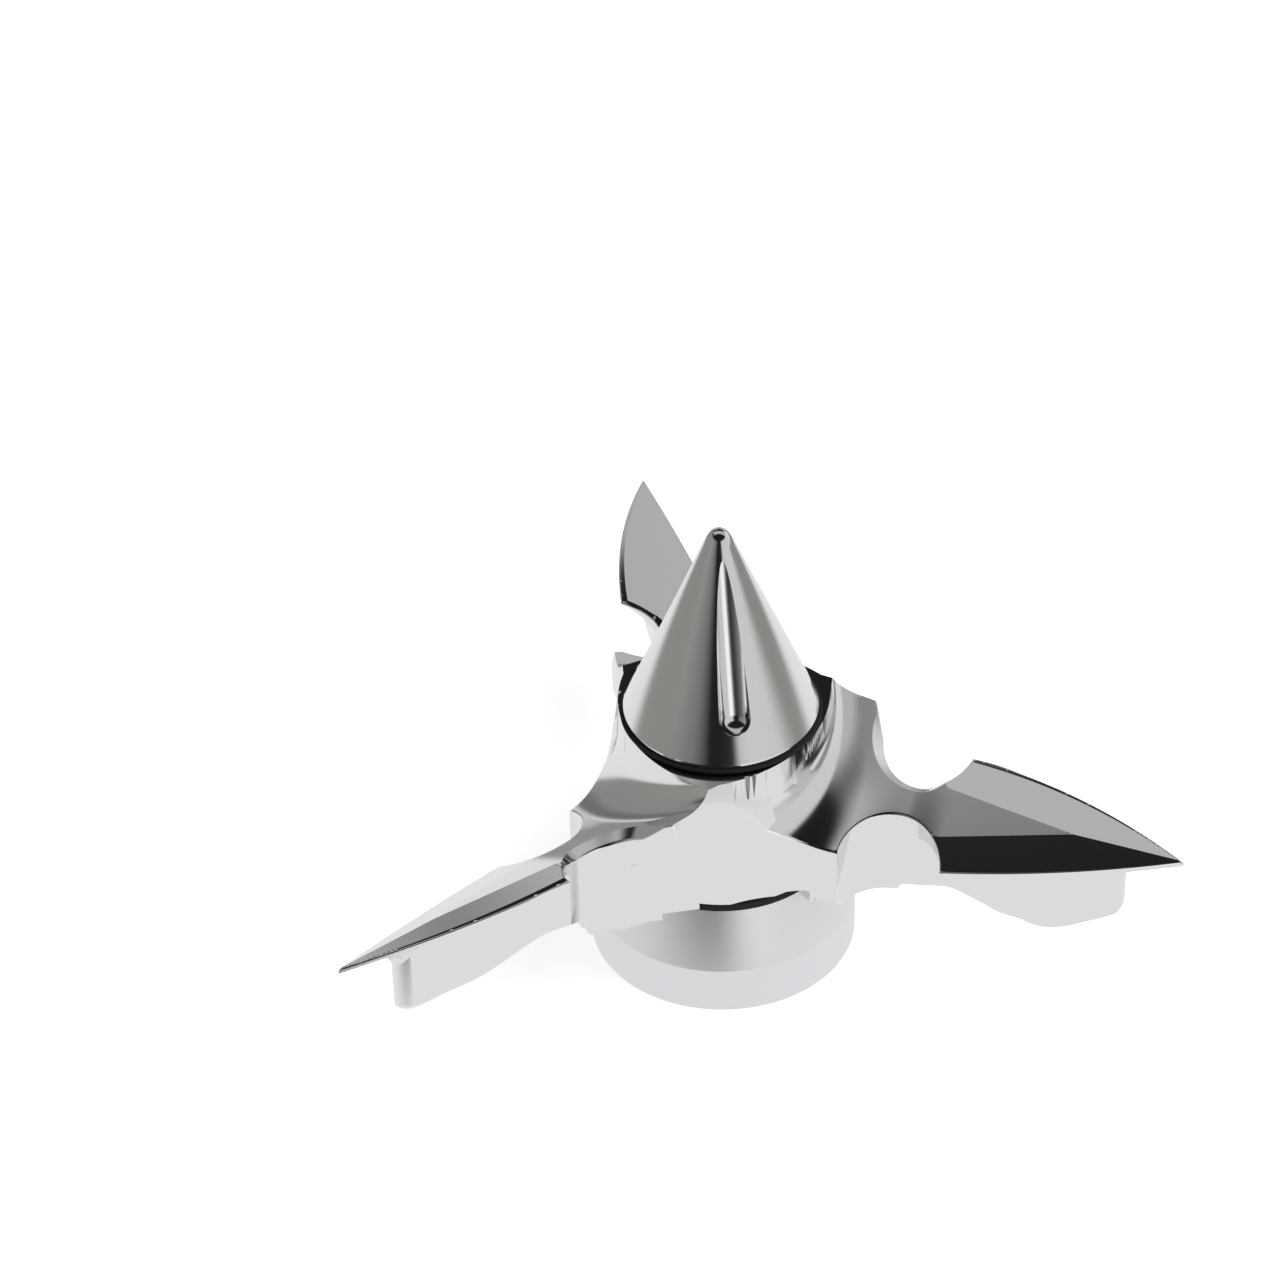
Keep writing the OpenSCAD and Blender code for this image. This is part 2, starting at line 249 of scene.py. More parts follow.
def make_finishes():
    """The materials by slot, made once."""
    look = bpy.context.scene.cover_finishes
    return {slot: finish_of(slot, colour, rough, metal, detail) for slot, colour, rough, metal, detail in (
        ("chrome_plate", look.chrome, 0.02, 1.0, chrome_detail),
        ("turned_aluminium", look.turned, 0.09, 1.0, turned_detail),
        ("black_rubber", look.rubber, 0.42, 0.0, rubber_detail),
        ("bearing_steel", look.steel, 0.14, 1.0, steel_detail),
        ("zinc_steel", look.zinc, 0.3, 1.0, zinc_detail),
        ("black_steel", look.black_steel, 0.4, 0.6, zinc_detail),
        ("cage_brass", look.brass, 0.26, 1.0, zinc_detail))}


def finish_named(slot):
    return bpy.data.materials[slot] if slot in bpy.data.materials else make_finishes()[slot]


# ---------------------------------------------------------------- plane geometry, in millimetres

def turned(points, angle):
    """Points of the plane turned about the origin."""
    points = np.asarray(points, float)
    c, s = math.cos(angle), math.sin(angle)
    return points @ np.array([[c, s], [-s, c]])


def arc(centre, radius, start, end, turn, step):
    """Points on a circle from start up to but without end; turn is 1 anticlockwise and -1 clockwise."""
    a0 = math.atan2(start[1] - centre[1], start[0] - centre[0])
    a1 = math.atan2(end[1] - centre[1], end[0] - centre[0])
    sweep = (a1 - a0) * turn % (2 * math.pi)
    count = max(2, math.ceil(sweep * radius / step))
    return [(centre[0] + radius * math.cos(a0 + turn * sweep * i / count),
             centre[1] + radius * math.sin(a0 + turn * sweep * i / count)) for i in range(count)]


def straight(start, end, step):
    """Points on a line from start up to but without end."""
    start, end = np.asarray(start, float), np.asarray(end, float)
    count = max(1, math.ceil(np.linalg.norm(end - start) / step))
    return [tuple(start + (end - start) * i / count) for i in range(count)]


def circles_meet(c0, r0, c1, r1, side):
    """Where two circles meet, on the left (1) or the right (-1) of the way from c0 to c1."""
    c0, c1 = np.asarray(c0, float), np.asarray(c1, float)
    gap = np.linalg.norm(c1 - c0)
    along = (gap * gap + r0 * r0 - r1 * r1) / (2 * gap)
    across = math.sqrt(r0 * r0 - along * along)
    way = (c1 - c0) / gap
    return tuple(c0 + way * along + side * across * np.array([-way[1], way[0]]))


def line_meets(start, end, centre, radius):
    """Where the line from start to end first crosses a circle after start."""
    p, d = np.asarray(start, float) - centre, np.asarray(end, float) - start
    a, b, c = d @ d, 2 * p @ d, p @ p - radius * radius
    root = math.sqrt(b * b - 4 * a * c)
    t = min(t for t in ((-b - root) / (2 * a), (-b + root) / (2 * a)) if t > 0)
    return tuple(np.asarray(start, float) + d * t)


def arc_centre(p, q, radius):
    """The centre of the circle through p and q that lies on the right of the way from p to q."""
    p, q = np.asarray(p, float), np.asarray(q, float)
    way = q - p
    length = np.linalg.norm(way)
    rise = math.sqrt(radius * radius - length * length / 4)
    return (p + q) / 2 + rise * np.array([way[1], -way[0]]) / length


def distance_to(points, loop, closed=True):
    """The distance of each point from a line through the loop's points."""
    a = np.asarray(loop, float)
    b = np.roll(a, -1, axis=0) if closed else a[1:]
    a = a if closed else a[:-1]
    way = b - a
    size = np.maximum((way * way).sum(1), 1e-12)
    best = np.full(len(points), 1e9)
    for begin in range(0, len(points), 4000):
        part = points[begin:begin + 4000]
        rel = part[:, None, :] - a[None, :, :]
        t = np.clip((rel * way).sum(2) / size, 0, 1)
        gap = rel - t[..., None] * way
        best[begin:begin + 4000] = np.sqrt((gap * gap).sum(2).min(1))
    return best


def inside(points, loop):
    """Which points lie inside a closed loop."""
    a = np.asarray(loop, float)
    b = np.roll(a, -1, axis=0)
    x, y = points[:, 0][:, None], points[:, 1][:, None]
    spans = (a[:, 1] > y) != (b[:, 1] > y)
    rise = np.where(np.abs(b[:, 1] - a[:, 1]) < 1e-12, 1e-12, b[:, 1] - a[:, 1])
    cross = (b[:, 0] - a[:, 0]) * (y - a[:, 1]) / rise + a[:, 0]
    return (spans & (x < cross)).sum(1) % 2 == 1


def eased(x, low, high):
    """0 below low and 1 above high, eased between them."""
    t = np.clip((x - low) / (high - low), 0, 1)
    return t * t * (3 - 2 * t)


def quarter(distance, radius):
    """How far a rounded edge falls at a distance inside it."""
    t = np.clip(1 - distance / radius, 0, 0.9995)
    return radius * (1 - np.sqrt(1 - t * t))


def flowing(x, xs, zs):
    """A smooth line through the points xs, zs."""
    xs, zs = np.asarray(xs, float), np.asarray(zs, float)
    slope = np.gradient(zs, xs)
    i = np.clip(np.searchsorted(xs, x) - 1, 0, len(xs) - 2)
    h = xs[i + 1] - xs[i]
    t = np.clip((x - xs[i]) / h, 0, 1)
    t2, t3 = t * t, t * t * t
    return ((2 * t3 - 3 * t2 + 1) * zs[i] + (t3 - 2 * t2 + t) * h * slope[i]
            + (3 * t2 - 2 * t3) * zs[i + 1] + (t3 - t2) * h * slope[i + 1])


def web_of_triangles(points, loop, lines):
    """Triangles inside the loop that keep the lines.

    Gives the points, the triangles and where each input point went."""
    coords = [Vector((float(p[0]), float(p[1]))) for p in points]
    edges = [(int(i), int(j)) for i, j in lines]
    edges += [(int(i), int(j)) for i, j in zip(loop, loop[1:] + loop[:1])]
    out = delaunay_2d_cdt(coords, edges, [], 0, 1e-6, True)
    went = {}
    for new, olds in enumerate(out[3]):
        for old in olds:
            went[old] = new
    flat = np.array([tuple(v) for v in out[0]])
    tris = np.array([tuple(f) for f in out[2]])
    within = inside(flat[tris].mean(1), flat[[went[i] for i in loop]])
    return flat, [tuple(int(i) for i in t) for t in tris[within]], went


def creased(points, loop, marks, exact=40):
    """Triangles over a loop whose edges follow the places where marks(points) changes.

    Gives the points, the triangles, each triangle's mark, and the loop with the points that were added."""
    points, tris, went = web_of_triangles(points, loop, [])
    loop = [went[i] for i in loop]
    held = set(loop)
    for again in (True, False):
        mark = marks(points)
        edges = sorted({tuple(sorted(e)) for t in tris for e in ((t[0], t[1]), (t[1], t[2]), (t[2], t[0]))})
        a = np.array([e[0] for e in edges])
        b = np.array([e[1] for e in edges])
        split = mark[a] != mark[b]
        a, b = a[split], b[split]
        low, high = np.zeros(len(a)), np.ones(len(a))
        for _ in range(exact):
            mid = (low + high) / 2
            same = marks(points[a] + (points[b] - points[a]) * mid[:, None]) == mark[a]
            low, high = np.where(same, mid, low), np.where(same, high, mid)
        place = points[a] + (points[b] - points[a]) * low[:, None]
        if again:
            for k in range(len(a)):
                near = a[k] if low[k] < 0.25 else b[k] if low[k] > 0.75 else None
                if near is not None and near not in held:
                    points[near] = place[k]
                    held.add(near)
    new = {}
    rows = [tuple(p) for p in points]
    for k in range(len(a)):
        if 0.004 < low[k] < 0.996:
            new[(a[k], b[k])] = len(rows)
            rows.append(tuple(place[k]))
    lines = []
    for t in tris:
        cut = [new.get(tuple(sorted(e))) for e in ((t[0], t[1]), (t[1], t[2]), (t[2], t[0]))]
        found = [c for c in cut if c is not None]
        if len(found) == 2:
            lines.append(tuple(found))
        elif len(found) == 3:
            middle = len(rows)
            rows.append(tuple(np.mean([rows[c] for c in found], axis=0)))
            lines += [(c, middle) for c in found]
        elif len(found) == 1:
            lone = {new_index: e for e, new_index in new.items() if new_index == found[0]}[found[0]]
            other = [v for v in t if v not in lone][0]
            lines.append((found[0], other))
    ring = []
    for i, j in zip(loop, loop[1:] + loop[:1]):
        ring.append(i)
        extra = new.get(tuple(sorted((i, j))))
        if extra is not None:
            ring.append(extra)
    points, tris, went = web_of_triangles(rows, ring, lines)
    centre = points[np.array(tris)].mean(1)
    return points, tris, marks(centre), [went[i] for i in ring]


# ---------------------------------------------------------------- mesh building

class Shell:
    """Collects faces in millimetres and turns them into one object."""

    def __init__(self):
        self.verts = []
        self.faces = []
        self.skins = []

    def add(self, verts, faces, skin=0):
        """Adds faces over a list of points; skin is one number, or one for each face."""
        start = len(self.verts)
        self.verts += [tuple(map(float, v)) for v in verts]
        self.faces += [tuple(start + i for i in f) for f in faces]
        self.skins += [skin] * len(faces) if isinstance(skin, int) else [int(s) for s in skin]

    def lathe(self, profile, count, skin=0, offset=0.0):
        """Turns a profile of radius and height about the axis. It is listed with the solid on its left."""
        ring = [offset + 2 * math.pi * i / count for i in range(count)]
        verts = [(r * math.cos(a), r * math.sin(a), z) for r, z in profile for a in ring]
        faces = []
        for row in range(len(profile) - 1):
            for i in range(count):
                j = (i + 1) % count
                faces.append((row * count + i, row * count + j, (row + 1) * count + j, (row + 1) * count + i))
        self.add(verts, faces, skin)

    def object(self, name, slot, sharp=32.0, normals=None):
        """The finished object, merged, smooth with sharp edges, with its slot's material."""
        bm = bmesh.new()
        layer = bm.faces.layers.int.new("skin")
        made = [bm.verts.new([c * MM for c in v]) for v in self.verts]
        for face, skin in zip(self.faces, self.skins):
            try:
                bm.faces.new([made[i] for i in face])[layer] = skin
            except ValueError:
                continue
        bmesh.ops.remove_doubles(bm, verts=bm.verts, dist=0.004 * MM)
        bmesh.ops.dissolve_degenerate(bm, edges=bm.edges, dist=0.0005 * MM)
        bmesh.ops.triangulate(bm, faces=[f for f in bm.faces if len(f.verts) > 4])
        loose = [v for v in bm.verts if not v.link_faces]
        bmesh.ops.delete(bm, geom=loose, context="VERTS")
        for face in bm.faces:
            face.smooth = True
        mesh = bpy.data.meshes.new(name)
        bm.to_mesh(mesh)
        bad = sum(1 for e in bm.edges if len(e.link_faces) != 2)
        bm.free()
        print("mesh", name, "faces", len(mesh.polygons), "open edges", bad)
        mesh.set_sharp_from_angle(angle=math.radians(sharp))
        if normals:
            corner = np.zeros(len(mesh.loops) * 3)
            mesh.corner_normals.foreach_get("vector", corner)
            corner = corner.reshape(-1, 3)
            skin = np.zeros(len(mesh.polygons), np.int32)
            mesh.attributes["skin"].data.foreach_get("value", skin)
            starts = np.zeros(len(mesh.polygons), np.int32)
            totals = np.zeros(len(mesh.polygons), np.int32)
            mesh.polygons.foreach_get("loop_start", starts)
            mesh.polygons.foreach_get("loop_total", totals)
            per_loop = np.repeat(skin, totals)
            index = np.zeros(len(mesh.loops), np.int32)
            mesh.loops.foreach_get("vertex_index", index)
            place = np.zeros(len(mesh.vertices) * 3)
            mesh.vertices.foreach_get("co", place)
            place = place.reshape(-1, 3)[index] / MM
            flat_normal = np.zeros(len(mesh.polygons) * 3)
            mesh.polygons.foreach_get("normal", flat_normal)
            normals(place, per_loop, corner, np.repeat(flat_normal.reshape(-1, 3), totals, axis=0))
            mesh.normals_split_custom_set([tuple(n) for n in corner])
        mesh.attributes.remove(mesh.attributes["skin"])
        mesh.materials.append(finish_named(slot))
        made = bpy.data.objects.new(name, mesh)
        bpy.context.scene.collection.objects.link(made)
        return made


def dress(piece, body, slot, *nodes):
    """Puts a piece on its body, in the place of its CAD nodes."""
    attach(piece, body)
    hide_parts(*nodes)


# ---------------------------------------------------------------- the spinner's forms

TIP = (84.4, 0.0)
HIGH_SHOULDER = (43.2, 10.9)
LOW_SHOULDER = (43.4, -9.15)
HIGH_EDGE_R = 115.0
LOW_EDGE_R = 280.0
HORN = (23.6, 15.6)
HORN_ROOT = (27.05, 10.0)
HORN_BACK = (6.0, 24.0)
HIGH_NOTCH = ((34.9, 12.5), 8.4)
LOW_NOTCH = ((34.6, -11.2), 9.1)
SCALLOP_C = (27.0, -38.5)
SCALLOP_R = 27.0
SCOOP_C = (-8.9, 2.5)
SCOOP_R = 26.85
WALL_W = 0.3
WALL_INSET = 0.003
ROW_SPACING = 0.12
WALL_SLOPE = 26.0
RIM_Z = 49.5
HUB_Z = 22.2
CUP_CLEAR_Z = 20.6
WEB_FOOT_Z = 19.2
RELIEF_R = 20.7
BORE_R = 11.0
SHOULDER_R = 9.0
LOW_SEAT_Z = 31.0
TOP_SEAT_Z = 40.0
GROOVE = (47.0, 48.0, 11.5)
SCALLOP_ANGLE = math.atan2(SCALLOP_C[1], SCALLOP_C[0])
SCALLOP_REACH = math.hypot(*SCALLOP_C) - SCALLOP_R
HIGH_EDGE_C = arc_centre(HIGH_SHOULDER, TIP, HIGH_EDGE_R)
LOW_EDGE_C = arc_centre(TIP, LOW_SHOULDER, LOW_EDGE_R)
WEB_LINE = ((34, -2.2), (43, -2.2), (53, -3.8))
WEB_BACK = ((44, 4.4), (38, 5.1), (32, 6.0), (24, 8.5), (16, 13))
WEB_NOSE = ((71.0, 1.6), 3.0)
WEB_BULGE = ((61.0, 10.0), 14.4)
WEB_FOOT = ((34, 43, 49, 53, 58, 66, 71, 76, 90), (21.5, 22.9, 22.4, 21.8, 21.5, 22.3, 22.7, 23.6, 23.6))
WING_FOOT = ((-10, 15, 27, 36, 43, 60, 72, 86), (30.3, 30.3, 30.3, 33.5, 35.65, 36.1, 37.0, 37.7))
OUTER_WALL, WEB_WALL = 100, 110
(RIM, SWOOP, HORN_FACE, HIGH_FACE, LOW_FACE, BEVEL, NOTCH_BEVEL, WALL,
 NEXT_SWOOP, NEXT_WALL, NEXT_HORN, LAST_HORN) = range(12)


def sector_outline(step):
    """The outline of a third of the spinner, anticlockwise, from the middle of one scallop to the next."""
    next_c = tuple(turned([SCALLOP_C], BLADE_STEP)[0])
    first = (SCALLOP_REACH * math.cos(SCALLOP_ANGLE), SCALLOP_REACH * math.sin(SCALLOP_ANGLE))
    last = tuple(turned([first], BLADE_STEP)[0])
    low_cusp = circles_meet(SCALLOP_C, SCALLOP_R, *LOW_NOTCH, 1)
    low_end = circles_meet(*LOW_NOTCH, LOW_EDGE_C, LOW_EDGE_R, -1)
    high_end = circles_meet(*HIGH_NOTCH, HIGH_EDGE_C, HIGH_EDGE_R, 1)
    horn_foot = line_meets(HORN_ROOT, HORN, *HIGH_NOTCH)
    horn_end = line_meets(HORN, HORN_BACK, next_c, SCALLOP_R)
    outer = (arc(SCALLOP_C, SCALLOP_R, first, low_cusp, -1, step)
             + arc(*LOW_NOTCH, low_cusp, low_end, -1, step)
             + arc(LOW_EDGE_C, LOW_EDGE_R, low_end, TIP, 1, step * 1.5)
             + arc(HIGH_EDGE_C, HIGH_EDGE_R, TIP, high_end, 1, step * 1.5)
             + arc(*HIGH_NOTCH, high_end, horn_foot, -1, step)
             + straight(horn_foot, HORN, step) + straight(HORN, horn_end, step)
             + arc(next_c, SCALLOP_R, horn_end, last, -1, step) + [last])
    count = 12
    across = SCOOP_C[0] * math.cos(SCALLOP_ANGLE) + SCOOP_C[1] * math.sin(SCALLOP_ANGLE)
    walls = [across + math.sqrt(across ** 2 - math.hypot(*SCOOP_C) ** 2 + (SCOOP_R - w) ** 2)
             for w in (WALL_INSET, WALL_W - WALL_INSET)]
    radii = np.array(sorted([*np.linspace(SCALLOP_REACH, BORE_R, count + 1)[1:], *walls], reverse=True))
    bore = 30
    start = SCALLOP_ANGLE + BLADE_STEP
    ray_in = [(r * math.cos(start), r * math.sin(start)) for r in radii]
    back = [start - BLADE_STEP * i / bore for i in range(1, bore + 1)]
    arc_back = [(BORE_R * math.cos(a), BORE_R * math.sin(a)) for a in back]
    ray_out = [tuple(turned([p], -BLADE_STEP)[0]) for p in reversed(ray_in[:-1])]
    return outer, ray_in, arc_back, ray_out


POINT_X = 64.6
POINT_Y = 0.544
STEEP = 0.985
FLARE_X = 4.0


RIDGE_Z = 38.7
HIGH_FALL = (0.00905, 0.374)
LOW_FALL = (0.01715, 0.669)
HORN_POINT = (14.9, 15, 49.7)
HORN_FALL = (0.322, 3.336)


def facet(fall, x, y):
    """Height of the plane of one of a blade's two facets."""
    return RIDGE_Z + fall[1] * y + fall[0] * (x - TIP[0])


def horn_plane(x, y):
    """Height of the plane of the face that rises to the horn."""
    return HORN_POINT[2] - HORN_FALL[0] * (x - HORN_POINT[0]) - HORN_FALL[1] * (y - HORN_POINT[1])


def fillet_at(angle):
    """Radius of the fillet between a blade's floor and the scoop's wall, by the angle round the scoop."""
    return 7.9 + 3.6 * np.tanh(-0.13 * np.degrees(angle) / 3.6)


def swoop(x, y):
    """Height of the swept floor of a blade and of the fillet and wall where it meets the hub."""
    flatter = 0.10 * eased(34 - x, 0, 9) * (0.5 * (np.sqrt(y * y + 16) - y) - 2)
    floor = 0.53 * y + 37.7 + (x - 43.5) ** 2 / 556 + flatter
    run = np.clip(POINT_X - x, 0.05, 40)
    y_high, y_low = POINT_Y + (4.0 - POINT_Y) * run / 24, POINT_Y + (-4.2 - POINT_Y) * run / 24
    z_high, z_low = facet(HIGH_FALL, x, y_high), facet(LOW_FALL, x, y_low)
    ruled = z_low + (y - y_low) / (y_high - y_low) * (z_high - z_low)
    floor = floor + (ruled - floor) * eased(x, 35, 42) + 3 * np.maximum(0, x - POINT_X)
    dx, dy = x - SCOOP_C[0], y - SCOOP_C[1]
    rho = np.hypot(dx, dy)
    fillet = fillet_at(np.arctan2(dy, dx))
    t = np.maximum(0, (SCOOP_R + fillet - rho) / fillet)
    full = math.sqrt(1 - STEEP * STEEP)
    steepest = STEEP / full
    bent = np.minimum(t, STEEP)
    soft = floor + fillet * (1 - np.sqrt(1 - bent * bent) + steepest * np.maximum(0, t - STEEP))
    wall = floor + fillet * (1 - full + steepest * (1 - STEEP)) + (SCOOP_R - rho) * WALL_SLOPE
    return soft, wall, rho


def arm_heights(x, y):
    """Heights of the surfaces of one arm, lowest wins; one row for each."""
    soft, wall, rho = swoop(x, y)
    floor = np.maximum(soft, wall)
    ease = 0.15 * np.maximum(0, 41 - x) ** 2
    high, low = facet(HIGH_FALL, x, y) + ease, facet(LOW_FALL, x, y) + ease
    horn = horn_plane(x, y)
    inset = HIGH_EDGE_R - np.hypot(x - HIGH_EDGE_C[0], y - HIGH_EDGE_C[1])
    width = np.clip(1.25 - 0.02 * (x - 43), 0.3, 1.3)
    bevel = high - 0.45 * (width - inset) + 8 * np.maximum(0, 42.6 - x)
    notch = np.hypot(x - HIGH_NOTCH[0][0], y - HIGH_NOTCH[0][1]) - HIGH_NOTCH[1]
    notch_w = 0.6 + 1.4 * eased(-x, -42, -36)
    notch_bevel = np.minimum(floor, high) - 0.9 * (notch_w - notch)
    rim = np.full_like(x, RIM_Z)
    return np.stack([rim, floor, horn, high, low, bevel, notch_bevel]), rho, soft, wall


def top_marks(points, heights=False):
    """Which surface is on top at each point, or the height of all of them."""
    x, y = points[:, 0], points[:, 1]
    here, rho, _, _ = arm_heights(x, y)
    back = turned(points, -BLADE_STEP)
    there, next_rho, _, _ = arm_heights(back[:, 0], back[:, 1])
    back2 = turned(points, BLADE_STEP)
    last_rho = np.hypot(back2[:, 0] - SCOOP_C[0], back2[:, 1] - SCOOP_C[1])
    edge = SCOOP_R - WALL_W
    on_hub = (rho < edge) & (next_rho < edge) & (last_rho < edge)
    own = np.where(((rho >= edge) & (x > 0)) | (x > FLARE_X), here.min(0), -1e3)
    real = (next_rho >= SCOOP_R) | (rho < SCOOP_R + 0.1)
    other = np.where((next_rho >= edge) & (back[:, 0] > 0) & real, there.min(0), -1e3)
    own_mark, there_mark = here.argmin(0), there.argmin(0)
    own_mark = np.where((own_mark == SWOOP) & (rho < SCOOP_R), WALL, own_mark)
    other_mark = np.select([there_mark == HORN_FACE, there_mark == RIM, next_rho < SCOOP_R],
                           [NEXT_HORN, RIM, NEXT_WALL], NEXT_SWOOP)
    last = np.where((back2[:, 0] > FLARE_X) & (last_rho < edge), horn_plane(back2[:, 0], back2[:, 1]), -1e3)
    last = np.minimum(last, RIM_Z)
    mark = np.where(other > own, other_mark, own_mark)
    mark = np.where(last > np.maximum(own, other), LAST_HORN, mark)
    mark = np.where(on_hub, RIM, mark)
    if heights:
        return np.where(on_hub, RIM_Z, np.maximum(np.maximum(own, other), last)), mark
    return mark


def height_of(mark, points):
    """The height of one named surface at each point."""
    here, _, soft, wall = arm_heights(points[:, 0], points[:, 1])
    back = turned(points, -BLADE_STEP)
    there, _, next_soft, next_wall = arm_heights(back[:, 0], back[:, 1])
    here[SWOOP] = soft
    back2 = turned(points, BLADE_STEP)
    last_horn = horn_plane(back2[:, 0], back2[:, 1])
    rows = np.concatenate([here, [wall, next_soft, next_wall, there[HORN_FACE], last_horn]])
    return rows[mark, np.arange(len(points))]


class COVER_OT_spinner(Operator):
    """Models the chromed hub with its three pitched blades"""

    bl_idname = "cover.spinner"
    bl_label = "Spinner"

    def web_loop(self, step):
        """The plan of the upright web under the blade."""
        bulge_c, bulge_r = WEB_BULGE
        nose_c, nose_r = WEB_NOSE

        def on(centre, radius, degrees):
            angle = math.radians(degrees)
            return (centre[0] + radius * math.cos(angle), centre[1] + radius * math.sin(angle))

        loop = [(0, 0), (24, -14.1), (27, -14), *WEB_LINE]
        loop += arc(bulge_c, bulge_r, on(bulge_c, bulge_r, -106), on(bulge_c, bulge_r, -60), 1, step)
        loop += arc(nose_c, nose_r, on(nose_c, nose_r, -45), on(nose_c, nose_r, 60), 1, step / 2)
        loop += [on(nose_c, nose_r, 60), (68, 4.4), *WEB_BACK]
        fine = []
        for p, q in zip(loop, loop[1:] + loop[:1]):
            fine += straight(p, q, step)
        return fine

    def foot_height(self, points, region, web):
        """Height of the underside: 0 is the hub, 1 the web, 2 the thin wings and 3 the web over the cup."""
        x, y = points[:, 0], points[:, 1]
        gap = distance_to(points, web)
        heel = WEB_FOOT_Z + np.maximum(0, -9.5 - y)
        arch = np.where(x < 34, heel, np.maximum(WEB_FOOT_Z, flowing(np.maximum(x, 34), *WEB_FOOT) + 0.5 * y))
        edge = quarter(gap, 0.3 + 0.9 * eased(x, 37, 46))
        fillet = 0.9 + 3.2 * eased(x, 71, 74.5)
        wing_z = flowing(x, *WING_FOOT) + 0.53 * y - 0.9 * quarter(gap, fillet)
        return np.select([region == 0, region == 1, region == 3],
                         [np.full_like(x, HUB_Z), arch + edge, CUP_CLEAR_Z + edge], np.maximum(HUB_Z, wing_z))

    def execute(self, context):
        sizes = context.scene.cover_sizes
        step = sizes.mesh_step / MM
        edge = sizes.edge_round / MM
        outer, ray_in, arc_back, ray_out = sector_outline(step)
        loop = outer + ray_in + arc_back + ray_out
        web = self.web_loop(step)
        reliefs = [([(r * math.cos(a), r * math.sin(a)) for a in np.linspace(-0.9, 1.12, 70)], False)
                   for r in (RELIEF_R, CUP_R)]
        loop, lines = self.insert_lines(loop, [(web, True), *reliefs])
        self.outline = np.array(outer + [(0, 0)])
        self.edge = edge
        ring = np.array(loop)
        reach = np.array(outer)

        low, high = ring.min(0), ring.max(0)
        rows = []
        for j, y in enumerate(np.arange(low[1], high[1], step * 0.866)):
            for x in np.arange(low[0] + (j % 2) * step / 2, high[0], step):
                rows.append((x, y))
        rows = np.array(rows)
        rows = rows[inside(rows, ring)]
        rows = rows[distance_to(rows, ring) > edge + step * 0.45]
        bands = []
        way = np.roll(reach, -1, axis=0) - np.roll(reach, 1, axis=0)
        way[0] = reach[1] - reach[0]
        way[-1] = reach[-1] - reach[-2]
        normal = np.stack([-way[:, 1], way[:, 0]], 1) / np.linalg.norm(way, axis=1)[:, None]
        for inset in (0.2 * edge, 0.5 * edge, 1.0 * edge):
            row = reach + normal * inset
            gap = distance_to(row, ring)
            bands.append(row[inside(row, ring) & (gap > 0.9 * inset)])
        walls = self.scoop_rows(ring)
        rows = rows[[np.hypot(*(walls - p).T).min() > step * 0.5 for p in rows]]
        points = np.concatenate([ring, rows, walls, *bands])
        loop_ids = list(range(len(ring)))
        top, tris, mark, rim = creased(points, loop_ids, top_marks)
        top_z, _ = top_marks(top, heights=True)
        gap = distance_to(top, reach, closed=False)
        top_z = top_z - quarter(gap, edge)
        self.build(top, top_z, tris, mark, rim, lines, web, step)
        return {"FINISHED"}

    def scoop_rows(self, ring):
        """Points along the scoops' upright walls and up the steep part of their fillets."""
        around = np.arange(-1.7, 1.7, 0.3 / SCOOP_R)
        fillet = fillet_at(around)
        depths = [np.full_like(around, d) for d in (WALL_INSET - WALL_W, -WALL_INSET)]
        depths += [fillet * (1 - t) for t in (0.985, 0.965, 0.94, 0.905, 0.86, 0.8)]
        kept = np.full((1, 2), 1e3)
        for sector in (0, 1):
            for depth in depths:
                reach = SCOOP_R + depth
                row = np.column_stack([SCOOP_C[0] + reach * np.cos(around),
                                       SCOOP_C[1] + reach * np.sin(around)])
                row = turned(row, sector * BLADE_STEP)
                steep = np.isin(top_marks(row), (SWOOP, WALL, NEXT_SWOOP, NEXT_WALL))
                row = row[steep & inside(row, ring) & (distance_to(row, ring) > 0.1)]
                gap = np.hypot(row[:, None, 0] - kept[None, :, 0], row[:, None, 1] - kept[None, :, 1])
                kept = np.concatenate([kept, row[gap.min(1) > ROW_SPACING]])
        return kept[1:]

    def insert_lines(self, loop, lines):
        """Cuts the lines at the outline, and puts the cutting points into the outline."""
        loop = [tuple(p) for p in loop]
        kept = []
        for line, closed in lines:
            line = [tuple(p) for p in line]
            pairs = list(zip(line, line[1:] + line[:1])) if closed else list(zip(line, line[1:]))
            for p, q in pairs:
                cuts = [0.0, 1.0]
                p_, q_ = np.array(p), np.array(q)
                a = np.array(loop)
                b = np.roll(a, -1, axis=0)
                d, e = q_ - p_, b - a
                den = d[0] * e[:, 1] - d[1] * e[:, 0]
                den = np.where(np.abs(den) < 1e-12, 1e-12, den)
                rel = a - p_
                t = (rel[:, 0] * e[:, 1] - rel[:, 1] * e[:, 0]) / den
                u = (rel[:, 0] * d[1] - rel[:, 1] * d[0]) / den
                hit = np.where((t > 0) & (t < 1) & (u >= 0) & (u < 1))[0]
                for k in sorted(hit, reverse=True):
                    cuts.append(float(t[k]))
                    loop.insert(k + 1, tuple(p_ + d * t[k]))
                cuts.sort()
                for s, t_ in zip(cuts, cuts[1:]):
                    middle = p_ + d * (s + t_) / 2
                    if inside(middle[None], np.array(loop))[0]:
                        kept.append((tuple(p_ + d * s), tuple(p_ + d * t_)))
        return loop, kept

